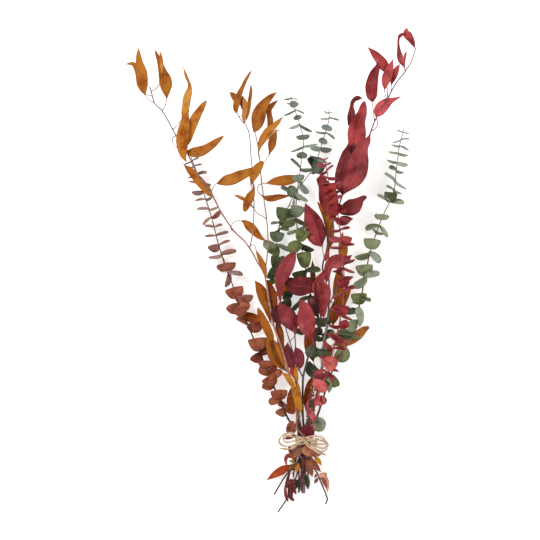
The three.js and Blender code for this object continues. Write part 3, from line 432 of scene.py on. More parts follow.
def barkMaterial(name, facts):
    material, board, shader, place, tint, dark, light = plantMaterial(name, facts)
    sx, sy, _ = board.split(attribute(board, "section", "Vector"))
    run = attribute(board, "run")
    streaks = board.noise(board.joinXyz(sx, sy, run * facts["streaks"]), 2.6, 4.0, 0.7)
    rings = board.noise(board.joinXyz(sx * 0.2, sy * 0.2, run * facts["rings"]), 1.0, 3.0, 0.6)
    blotch = board.noise(place, facts["blotchSize"], 3.0)
    colour = board.paint(board.between(streaks, 0.35, 0.6), dark, tint)
    colour = board.paint(board.between(blotch, 0.5, 0.75) * 0.7, colour, light)
    colour = board.paint(board.between(rings, 0.58, 0.72) * 0.5, colour, dark)
    roughness = facts["roughness"] + (streaks - 0.5) * 0.3
    dress(board, shader, colour, roughness, streaks + rings * 0.6, facts)
    return material


def raffiaMaterial(name, facts):
    material, board, shader, place, tint, dark, light = plantMaterial(name, facts)
    sx, sy, _ = board.split(attribute(board, "section", "Vector"))
    run = attribute(board, "run")
    fibre = board.noise(board.joinXyz(sx * 3.0, sy * 3.0, run * facts["streaks"]), 2.4, 4.0, 0.65)
    blotch = board.noise(place, facts["blotchSize"], 2.0)
    colour = board.paint(board.between(fibre, 0.36, 0.55), dark, tint)
    colour = board.paint(board.between(fibre, 0.55, 0.74), colour, light)
    colour = board.paint(board.between(blotch, 0.55, 0.8) * 0.4, colour, dark)
    dress(board, shader, colour, facts["roughness"] + (fibre - 0.5) * 0.4, fibre, facts)
    shader.inputs["Sheen Weight"].default_value = facts["sheen"]
    return material


leafGrain = dict(bendSize=160.0, speckSize=1500.0, depth=0.0006)
willowLook = dict(
    dark=tone("#c09a68"), light=tone("#d0942e"), lightShare=0.4, cloudSize=55.0, grainSize=700.0, grain=0.3,
    ribWidth=0.05, ribShade=0.35, ribTone=tone("#c68a3c"), veinCount=15.0, veinSlope=2.6, veinShade=0.12,
    veinTone=tone("#9c5a1c"), marginShade=0.45, endShade=0.5, underShare=0.3, underTone=tone("#c08a50"),
    roughness=0.6, gloss=0.15, bump=0.35, **leafGrain,
)
rustLook = dict(
    dark=tone("#b08a80"), light=tone("#cc9078"), lightShare=0.5, cloudSize=70.0, grainSize=900.0, grain=0.4,
    ribWidth=0.04, ribShade=0.3, ribTone=tone("#b77a60"), veinCount=7.0, veinSlope=1.2, veinShade=0.15,
    veinTone=tone("#7d4636"), marginShade=0.35, endShade=0.15, underShare=0.6, underTone=tone("#ac8c86"),
    roughness=0.72, gloss=0.2, bump=0.35, **leafGrain,
)
greenLook = dict(
    dark=tone("#b0b098"), light=tone("#a3b090"), lightShare=0.5, cloudSize=70.0, grainSize=900.0, grain=0.3,
    ribWidth=0.04, ribShade=0.4, ribTone=tone("#8a9a72"), veinCount=7.0, veinSlope=1.2, veinShade=0.15,
    veinTone=tone("#849570"), marginShade=0.3, endShade=0.1, underShare=0.5, underTone=tone("#a2ac9a"),
    roughness=0.68, gloss=0.2, bump=0.35, **leafGrain,
)
redLook = dict(
    dark=tone("#ae7274"), light=tone("#e67a7a"), lightShare=0.62, cloudSize=45.0, grainSize=800.0, grain=0.4,
    ribWidth=0.035, ribShade=0.4, ribTone=tone("#c4626a"), veinCount=11.0, veinSlope=1.8, veinShade=0.2,
    veinTone=tone("#8a2a34"), marginShade=0.35, endShade=0.35, underShare=0.3, underTone=tone("#a0606a"),
    roughness=0.55, gloss=0.2, bump=0.45, **leafGrain,
)
barkLook = dict(
    dark=tone("#8c7a78"), light=tone("#c0a8a0"), lightShare=0.2, streaks=60.0, rings=420.0, blotchSize=110.0,
    roughness=0.75, gloss=0.2, bump=0.6, depth=0.0004,
)
raffiaLook = dict(
    dark=tone("#b0946c"), light=tone("#f2dcb8"), lightShare=0.5, streaks=40.0, blotchSize=190.0,
    roughness=0.62, gloss=0.4, sheen=0.15, bump=0.7, depth=0.0003,
)

willowFinish = leafMaterial("driedWillowLeaf", willowLook)
rustFinish = leafMaterial("driedRustLeaf", rustLook)
greenFinish = leafMaterial("preservedGreenLeaf", greenLook)
redFinish = leafMaterial("dyedRedLeaf", redLook)
barkFinish = barkMaterial("dryBark", barkLook)
raffiaFinish = raffiaMaterial("naturalRaffia", raffiaLook)

growBlades = bladeTree()
growTubes = tubeTree()
print("finishes and trees ready")

# the camera looks straight down, `height` metres above the middle of the bunch
view = dict(centre=(-51, 255), width=810, height=2.0)
camera = bpy.data.objects.new("camera", bpy.data.cameras.new("camera"))
camera.data.type = "ORTHO"
camera.data.ortho_scale = view["width"] * mm
camera.location = (view["centre"][0] * mm, view["centre"][1] * mm, view["height"])
bpy.context.scene.collection.objects.link(camera)
bpy.context.scene.camera = camera


def tubes(name, lines, material, tube):
    # lines: dicts with `line`, the points in metres, and `thick`, a radius in millimetres, and `tint`,
    # each one for all points or a list with one for each
    points, edges, thick, tints = [], [], [], []
    for row in lines:
        first = len(points)
        count = len(row["line"])
        radii = row["thick"] if isinstance(row["thick"], list) else [row["thick"]] * count
        points += row["line"]
        edges += [(first + i, first + i + 1) for i in range(count - 1)]
        thick += [r * mm for r in radii]
        tints += row["tint"] if isinstance(row["tint"][0], list) else [row["tint"]] * count
    mesh = pointMesh(name + "Lines", points, edges, {"thick": thick}, {}, {"tint": tints})
    return grown(name, mesh, growTubes, {
        "Sides": tube["sides"], "Flatness": tube["flatness"], "Twist": tube["twist"],
        "Ridge Depth": tube["ridgeDepth"] * mm, "Ridge Size": tube["ridgeSize"], "Material": material,
    })


raffiaTints = [tone("#e2c7a8"), tone("#d2b08c"), tone("#eedabf")]
# fibres start up to `shift` radians out of place and go round each other `turns` times along a strand
twine = dict(shift=0.3, turns=(1.0, 1.6), ends=(0.06, 0.94), lift=0.45, bulge=0.18, bulgeStep=0.37)


def fibresAlong(line, count, seed, facts):
    # a few thin fibres that run side by side along the line and cross over each other
    dice = random.Random(seed)
    rows = []
    last = len(line) - 1
    near, far = twine["ends"]
    for k in range(count):
        phase = 2 * math.pi * k / count + dice.uniform(-twine["shift"], twine["shift"])
        turns = dice.uniform(*twine["turns"])
        fibre = []
        radii = []
        for i, point in enumerate(line):
            along = (line[min(i + 1, last)] - line[max(i - 1, 0)]).normalized()
            flat = Vector((-along.y, along.x, 0)).normalized()
            up = along.cross(flat)
            angle = phase + turns * 2 * math.pi * i / last
            gather = math.sin(math.pi * min(max(i / last, near), far)) ** 0.5 if facts["closeEnds"] else 1.0
            reach = facts["spread"] * mm * gather
            beside = point + flat * math.cos(angle) * reach
            fibre.append(beside + up * math.sin(angle) * reach * twine["lift"])
            radii.append(facts["fibre"] * (1 + twine["bulge"] * math.sin(i * twine["bulgeStep"] + phase * 3)))
        rows.append(dict(line=fibre, thick=radii, tint=raffiaTints[k % len(raffiaTints)]))
    return rows


# the strands of the bow, from the knot outwards; the loops come back to it
bow = dict(
    raffia_loop_left=dict(end="object", fibres=3, points=[
        (-8, 4, 28.1), (-15, 9, 29.6), (-22, 10.5, 30.1), (-30, 8, 29.6), (-36, 2.5, 28.6),
        (-37.5, -2, 28.1), (-35, -6.5, 27.6), (-29, -9.5, 27.6), (-21, -9.5, 28.1), (-14, -6.5, 28.1),
        (-8, -2.5, 28.1),
    ]),
    raffia_loop_left_inner=dict(end="object", fibres=2, points=[
        (-8, 0.8, 29.6), (-14, 4, 31.6), (-22, 6.5, 32.6), (-28.5, 6, 32.1), (-31, 2.5, 31.6),
        (-29, -1.5, 31.1), (-22, -3, 31.1), (-14, -1.5, 30.6), (-8.2, -0.7, 26.7),
    ]),
    raffia_loop_right=dict(end="object", fibres=3, points=[
        (5, 3.5, 28.1), (11, 5.5, 29.6), (18, 6, 30.1), (25, 4.5, 30.1), (31, 1, 29.6), (35, -4, 28.6),
        (35, -8.5, 28.1), (31, -11.5, 27.6), (25, -12, 27.6), (18, -8.5, 28.1), (11, -3.5, 28.1),
        (5.2, 0.2, 27.4),
    ]),
    raffia_loop_right_inner=dict(end="object", fibres=2, points=[
        (5.2, 1.9, 29.9), (12, 0.5, 32.4), (20, 0, 33.1), (27, -1, 33.1), (32.5, -3.3, 32.1),
        (30.5, -6, 31.6), (24, -6, 31.6), (15, -3.2, 31.4), (9, -1, 31.3), (4.2, -0.9, 30.7),
    ]),
    raffia_tail_left=dict(end="bare", fibres=2, points=[
        (-6.5, -3.4, 27.1), (-13, -9.5, 27.6), (-22, -13.3, 27.1), (-30, -13.3, 26.1), (-37, -12.5, 24.6),
    ]),
    raffia_tail_right=dict(end="bare", fibres=3, points=[
        (1, -4.2, 27.1), (7, -9.3, 29.6), (14, -14, 29.6), (22, -19, 27.1), (33, -22, 23.6),
    ]),
    raffia_tail_right_short=dict(end="bare", fibres=2, points=[
        (3.2, -3.1, 29.3), (10, -7.5, 31.7), (17, -12.5, 31.6), (24, -17, 30.1), (30, -16.5, 28.1),
        (35.5, -12.8, 26.6),
    ]),
)
strand = dict(
    width=0.002, step=1.0, seed=40, spread=0.92, fibre=1.24, closeEnds=True,
    tube=dict(sides=8, flatness=0.52, twist=260.0, ridgeDepth=0.06, ridgeSize=900.0),
)


def tieBow():
    for number, (node, facts) in enumerate(bow.items()):
        line = smoothLine(facts["points"], strand["step"])
        rows = fibresAlong(line, facts["fibres"], strand["seed"] + number, strand)
        piece = tubes(node.replace("_", "-") + "-fibres", rows, raffiaFinish, strand["tube"])
        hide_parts(node)
        length = sum((b - a).length for a, b in zip(line, line[1:]))


tieBow()
print("bow tied")

# each turn is a pair of strands, `twin` to either side of its middle, and none dips below `lift`
wrap = dict(
    y=1, centre=11.9, halfWidth=13.1, halfHeight=12.1, turns=4, spread=7.6, fibre=0.95, lift=0.95,
    steps=72, seed=7, slant=0.8, twin=0.55, sway=0.35, bulge=0.012, outer=0.02,
    tube=dict(sides=8, flatness=0.42, twist=0.0, ridgeDepth=0.08, ridgeSize=900.0),
)


def windWrap():
    rows = []
    dice = random.Random(wrap["seed"])
    for k in range(wrap["turns"]):
        middle = wrap["y"] + wrap["spread"] * ((k + 0.5) / wrap["turns"] - 0.5)
        slant = dice.uniform(-wrap["slant"], wrap["slant"])
        for twin in (-1, 1):
            line = []
            for i in range(wrap["steps"] + 1):
                turn = 2 * math.pi * i / wrap["steps"]
                out = 1 + wrap["bulge"] * math.sin(3 * turn + k * 1.9 + twin) + wrap["outer"] * (k % 2)
                x = wrap["halfWidth"] * out * math.cos(turn)
                z = wrap["centre"] + wrap["halfHeight"] * out * math.sin(turn)
                y = middle + twin * wrap["twin"] + slant * math.sin(turn)
                y += wrap["sway"] * math.sin(2 * turn + k)
                line.append(Vector((x, y, max(z, wrap["lift"]))) * mm)
            rows.append(dict(line=line, thick=wrap["fibre"], tint=raffiaTints[(k + twin) % len(raffiaTints)]))
    piece = tubes("raffia-wrap-turns", rows, raffiaFinish, wrap["tube"])
    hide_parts("raffia_wrap")


windWrap()

knot = dict(
    step=0.8, seed=70, spread=0.85, fibre=0.95, closeEnds=False,
    tube=dict(sides=8, flatness=0.45, twist=150.0, ridgeDepth=0.08, ridgeSize=900.0),
    bands=[  # (fibres, points)
        (3, [(-9, 4.6, 27.4), (-5, 3, 29.8), (-1, 0.6, 30.8), (2.6, -2, 29.8), (5.6, -4.4, 27.4)]),
        (3, [(-9, -2.6, 27.4), (-5, -1.2, 29.4), (-1.5, 0.8, 30.2), (2, 2.4, 29.4), (6, 3.8, 27.4)]),
        (2, [(-2.6, -4.2, 26.4), (-2, -2.2, 29.8), (-1.2, 1, 31), (-0.8, 4, 29.9), (-0.8, 5.8, 26.6)]),
        (2, [(-10.5, -1.8, 27), (-8, -4.6, 28), (-4, -6, 28.6), (0, -5.4, 29), (3.4, -3, 28.6)]),
    ],
)


def tieKnot():
    rows = []
    for number, (fibres, points) in enumerate(knot["bands"]):
        rows += fibresAlong(smoothLine(points, knot["step"]), fibres, knot["seed"] + number, knot)
    piece = tubes("raffia-knot-bands", rows, raffiaFinish, knot["tube"])
    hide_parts("raffia_knot")


tieKnot()
print("raffia done")

# where the raffia holds them the stems run parallel, stacked in rows
tie = dict(start=-6, end=9, pitch=5.5, floor=5.2, row=4.8)
wood = dict(
    step=3, taper=0.6, footFrom=-0.045,
    cutDepth=0.15, cutTone=tone("#b89c78"),  # the pale wood of a cut end
    tube=dict(sides=8, flatness=1.0, twist=0.0, ridgeDepth=0.12, ridgeSize=250.0),
)
# a leaf's own stalk, where its root is more than `least` off the stem
stalk = dict(thick=0.6, collar=0.6, sag=0.14, reach=0.12, step=1.5, least=1.5)
# leaf colours: how far along the spray one may be borrowed, and how its shade may vary
shades = dict(drift=0.12, own=(0.95, 1.05), any=(0.86, 1.12))
# leaves drawn from above to their own outlines
outlined = dict(fold=0.12, cup=0.05, wave=0.05, curl=0.02, lobe=0.0, step=2.5, thinnest=0.05)
# leaves cut to a rule: `taper` is the power of the outline at root and tip
cuts = dict(
    round=dict(taper=(0.46, 0.4), fold=0.05, cup=0.28, wave=0.015, curl=0.08, lobe=0.1, fuller=1.05, rows=14),
    fan=dict(taper=(0.38, 0.07), fold=0.04, cup=0.2, wave=0.01, curl=0.14, lobe=0.04, fuller=1.0, rows=18),
    bud=dict(taper=(0.5, 0.45), fold=0.06, cup=0.2, wave=0.02, curl=0.1, lobe=0.05, fuller=1.0, rows=10),
)
ruled = dict(arch=0.04, twist=0.12, hangingRoll=0.2, hangingCurl=-0.1)
bent = dict(twistFrom=0.4, curlPower=2.6, lobePower=1.5)
# pairs of round leaves; those shorter or narrower than the buds' sizes are cut as buds
pairing = dict(
    reach=5, slope=0.4, turned=(1, 3), budLength=10.8, budWidth=18, backShare=0.8, curl=0.2, lowest=0.3,
)


class Spray:
    # gathers the stems and leaves of one spray
    def __init__(self, facts):
        self.dice = random.Random(facts["seed"])
        self.tints = facts["tints"]
        self.bark = facts["bark"]  # rows of (height, colour), as for the leaves
        self.stalk = tone(facts["stalk"])
        self.stems = []
        self.lines = []
        self.blades = []

    def stem(self, place, below, above, thick=2.0, tip=0.6, foot=1.2):
        # `place` is the stem's column and row in the tie; `below` and `above` go away from it
        inTie = [
            (place[0] * tie["pitch"], y, tie["floor"] + place[1] * tie["row"])
            for y in (tie["start"], (tie["start"] + tie["end"]) / 2, tie["end"])
        ]
        line = smoothLine([*reversed(below), *inTie, *above], wood["step"])
        line.insert(1, line[0].lerp(line[1], wood["cutDepth"]))
        top, bottom = line[-1].y, line[0].y
        radii = []
        for point in line:
            if point.y > 0:
                radii.append(thick + (tip - thick) * (point.y / top) ** wood["taper"])
            else:
                radii.append(thick + (foot - thick) * min(point.y / max(bottom, wood["footFrom"]), 1.0))
        tints = [ramp(self.bark, point.y / mm) for point in line]
        tints[0] = wood["cutTone"]
        self.lines.append(dict(line=line, thick=radii, tint=tints))
        self.stems.append(line)

    def twig(self, start, points, thick=1.0, tip=0.75, tint=None):
        # a side stem that leaves the nearest one at x, y
        line = smoothLine([nearestOn(self.stems, start) / mm, *points], wood["step"])
        last = len(line) - 1
        radii = [thick + (tip - thick) * (i / last) ** wood["taper"] for i in range(len(line))]
        tints = tone(tint) if tint else [ramp(self.bark, point.y / mm) for point in line]
        self.lines.append(dict(line=line, thick=radii, tint=tints))
        self.stems.append(line)

    def tintFor(self, height, chosen):
        # the spray's colours run from its low end to its high end, with some chance in them
        if chosen:
            base = tone(chosen)
        else:
            reach = self.tints[-1][0] - self.tints[0][0]
            base = ramp(self.tints, height + self.dice.uniform(-shades["drift"], shades["drift"]) * reach)
        shade = self.dice.uniform(*shades["own" if chosen else "any"])
        return [min(c * shade, 1.0) for c in base[:3]] + [1.0]

    def addBlade(self, points, halves, roll, twist, facts, tint):
        # points are the middle line in metres, halves the half widths in metres
        last = len(points) - 1
        length = sum((q - p).length for p, q in zip(points, points[1:]))
        frames = []
        for i, point in enumerate(points):
            u = i / last
            heading = (points[min(i + 1, last)] - points[max(i - 1, 0)]).normalized()
            flat = Vector((-heading.y, heading.x, 0)).normalized()
            up = heading.cross(flat)
            angle = roll + twist * (u - bent["twistFrom"])
            side = flat * math.cos(angle) + up * math.sin(angle)
            face = heading.cross(side)
            frames.append(dict(
                centre=point + face * facts["curl"] * length * u ** bent["curlPower"],
                side=side, face=face, heading=heading, half=halves[i], along=u,
                lobe=facts["lobe"] * length * (1 - u) ** bent["lobePower"],
            ))
        self.blades.append(dict(
            frames=frames, form=(facts["fold"], facts["cup"], facts["wave"]),
            tint=self.tintFor(points[0].y / mm, tint), chance=self.dice.random(),
        ))

    def blade(self, root, tip, wide, roll, cut, tint=None, **changes):
        # a blade from root to tip, cut to a rule
        facts = {**cuts[cut], **changes}
        chord = tip - root
        arch = Vector((0, 0, ruled["arch"] * chord.length))
        a, b = facts["taper"]
        peak = a / (a + b)
        full = wide * mm / 2 * facts["fuller"] / (peak ** a * (1 - peak) ** b)
        steps = [0.5 - 0.5 * math.cos(math.pi * i / facts["rows"]) for i in range(facts["rows"] + 1)]
        points = [root + chord * u + arch * 4 * u * (1 - u) for u in steps]
        halves = [full * u ** a * (1 - u) ** b for u in steps]
        self.addBlade(points, halves, roll, self.dice.uniform(-ruled["twist"], ruled["twist"]), facts, tint)

    def drawn(
        self, outline, z=None, rise=2, at=None, roll=0.0, twist=0.0, arch=0.03, tint=None, stalkPath=(),
        **changes,
    ):
        # a blade drawn from above as a row of (x, y, width) from its root to its tip; `z` gives the heights
        # of both, or else it starts at the stem's height and goes up by `rise`
        facts = {**outlined, **changes}
        start = nearestOn(self.stems, at or outline[0][:2])
        low, high = z or (start.z / mm, start.z / mm + rise)
        spans = [0.0]
        for p, q in zip(outline, outline[1:]):
            spans.append(spans[-1] + math.hypot(q[0] - p[0], q[1] - p[1]))
        crown = arch * spans[-1]
        stops = []
        for (x, y, _), span in zip(outline, spans):
            u = span / spans[-1]
            stops.append((x, y, low + (high - low) * u + crown * 4 * u * (1 - u)))
        points = smoothLine(stops, facts["step"])
        halves = []
        for k, (p, q) in enumerate(zip(stops, stops[1:])):
            count = max(1, round((Vector(q) - Vector(p)).length / facts["step"]))
            before = outline[max(k - 1, 0)][2]
            a, b = outline[k][2], outline[k + 1][2]
            after = outline[min(k + 2, len(outline) - 1)][2]
            for i in range(count):
                t = i / count
                soft = 0.5 * (2 * a + (b - before) * t + (2 * before - 5 * a + 4 * b - after) * t * t
                              + (3 * a - before - 3 * b + after) * t ** 3)
                halves.append(max(soft, facts["thinnest"]) * mm / 2)
        halves.append(max(outline[-1][2], facts["thinnest"]) * mm / 2)
        if (points[0] - start).length > stalk["least"] * mm:
            self.petiole(start, points[0], points[len(points) // 2] - points[0], stalkPath)
        self.addBlade(points, halves, roll, twist, facts, tint)

    def petiole(self, start, root, toTip, path=()):
        # a thin curved stalk that leaves the stem and runs into the blade
        middle = [(start + root) / 2 - toTip.normalized() * (root - start).length * stalk["sag"]]
        if path:
            middle = [Vector((x * mm, y * mm, start.z + (root.z - start.z) * (i + 1) / (len(path) + 1)))
                      for i, (x, y) in enumerate(path)]
        stops = (start, *middle, root, root + toTip * stalk["reach"])
        line = smoothLine([p / mm for p in stops], stalk["step"])
        last = len(line) - 1
        swell = [1 + stalk["collar"] - stalk["collar"] * min(1, 4 * i / last) for i in range(last)]
        radii = [stalk["thick"] * share for share in (*swell, 0.5)]
        self.lines.append(dict(line=line, thick=radii, tint=self.stalk))

    def traced(self, root, tip, wide, cut, at=None, seen=None, rise=0, z=None, tint=None):
        # a leaf cut to a rule and traced from above: `seen` is how much of its width shows
        start = nearestOn(self.stems, at or root)
        low, high = (z[0] * mm, z[1] * mm) if z else (start.z, start.z + rise * mm)
        rootPoint = Vector((root[0] * mm, root[1] * mm, low))
        tipPoint = Vector((tip[0] * mm, tip[1] * mm, high))
        if (rootPoint - start).length > stalk["least"] * mm:
            self.petiole(start, rootPoint, tipPoint - rootPoint)
        else:
            rootPoint = start
        self.blade(rootPoint, tipPoint, wide, math.acos(min((seen or wide) / wide, 1)), cut, tint)

    def pairs(self, rows, turnedFrom):
        # opposite round leaves, (height, left, right, width), each side (tip x, tip y, seen) with a tint
        # of its own where it has one; above `turnedFrom` those counted in `turned` show their undersides
        for i, (at, left, right, wide) in enumerate(rows):
            for j, side in enumerate((left, right)):
                if not side:
                    continue
                root = atY(self.stems[0], at)
                x, y, seen, *own = side
                length = math.hypot(x - root.x / mm, y - root.y / mm)
                rise = (1 if (i + j) % 2 else -1) * min(pairing["reach"], length * pairing["slope"])
                roll = (1 if i % 2 else -1) * math.acos(min(seen / wide, 1))
                if (i + 2 * j) % 5 in pairing["turned"] and at > turnedFrom and not own:
                    roll += math.pi
                tip = Vector((x * mm, y * mm, root.z + rise * mm))
                self.blade(root, tip, wide, roll, "bud" if length < pairing["budLength"] else "round", *own)

    def frontPairs(self, rows):
        # pairs that stand to the front and back, (height, tip x, tip y, width, rise) and maybe a tint
        for at, x, y, wide, rise, *own in rows:
            root = atY(self.stems[0], at)
            cut = "bud" if wide < pairing["budWidth"] else "fan"
            for way, share in ((1, 1.0), (-1, pairing["backShare"])):
                tip = root + (Vector((x, y, 0)) * mm - root) * share
                tip.z = max(root.z + way * rise * mm, pairing["lowest"] * mm)
                self.blade(root, tip, wide * share, 0.0, cut, *own, curl=way * pairing["curl"])

    def finish(self, node, facts):
        floats = {key: [] for key in ("half", "along", "lobe", "chance")}
        vectors = {key: [] for key in ("centre", "side", "face", "heading", "form")}
        tints, edges = [], []
        for blade in self.blades:
            first = len(tints)
            for spot in blade["frames"]:
                for table in (floats, vectors):
                    for key, values in table.items():
                        values.append(spot[key] if key in spot else blade[key])
                tints.append(blade["tint"])
            edges += [(i, i + 1) for i in range(first, len(tints) - 1)]
        mesh = pointMesh(node + "Blades", vectors["centre"], edges, floats, vectors, {"tint": tints})
        sheet = {**sheets, **facts.get("sheet", {})}
        foliage = grown(node + "-leaves", mesh, growBlades, {
            "Columns": sheet["columns"], "Thickness": sheet["thickness"] * mm,
            "Rib Height": sheet["rib"] * mm, "Material": facts["finish"],
        })
        stems = tubes(node + "-stems", self.lines, barkFinish, wood["tube"])
        for piece in (foliage, stems):
            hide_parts(node)
        print(node, "grown:", len(self.blades), "leaves,", len(foliage.data.polygons), "faces")


def leaf(tint, *outline, **facts):
    # a leaf for drawn(): its colour, its outline from root to tip, and how it lies
    return dict(tint=tint, outline=outline, **facts)


def growSpray(node, facts):
    spray = Spray(facts)
    spray.stem(facts["place"], facts["below"], facts["above"], **facts.get("sizes", {}))
    for row in facts.get("twigs", ()):
        spray.twig(**row)
    spray.pairs(facts.get("pairs", ()), facts.get("turnedFrom", 250))
    spray.frontPairs(facts.get("frontPairs", ()))
    for row in facts["leaves"]:
        if "outline" in row:
            spray.drawn(**row)
        else:
            spray.traced(**row)
    for at, tip, wide in facts.get("hanging", ()):  # leaves that hang from the stem down to the surface
        root = atY(spray.stems[0], at)
        spray.blade(root, Vector(tip) * mm, wide, ruled["hangingRoll"], "fan", curl=ruled["hangingCurl"])
    spray.finish(node, facts)
    return spray


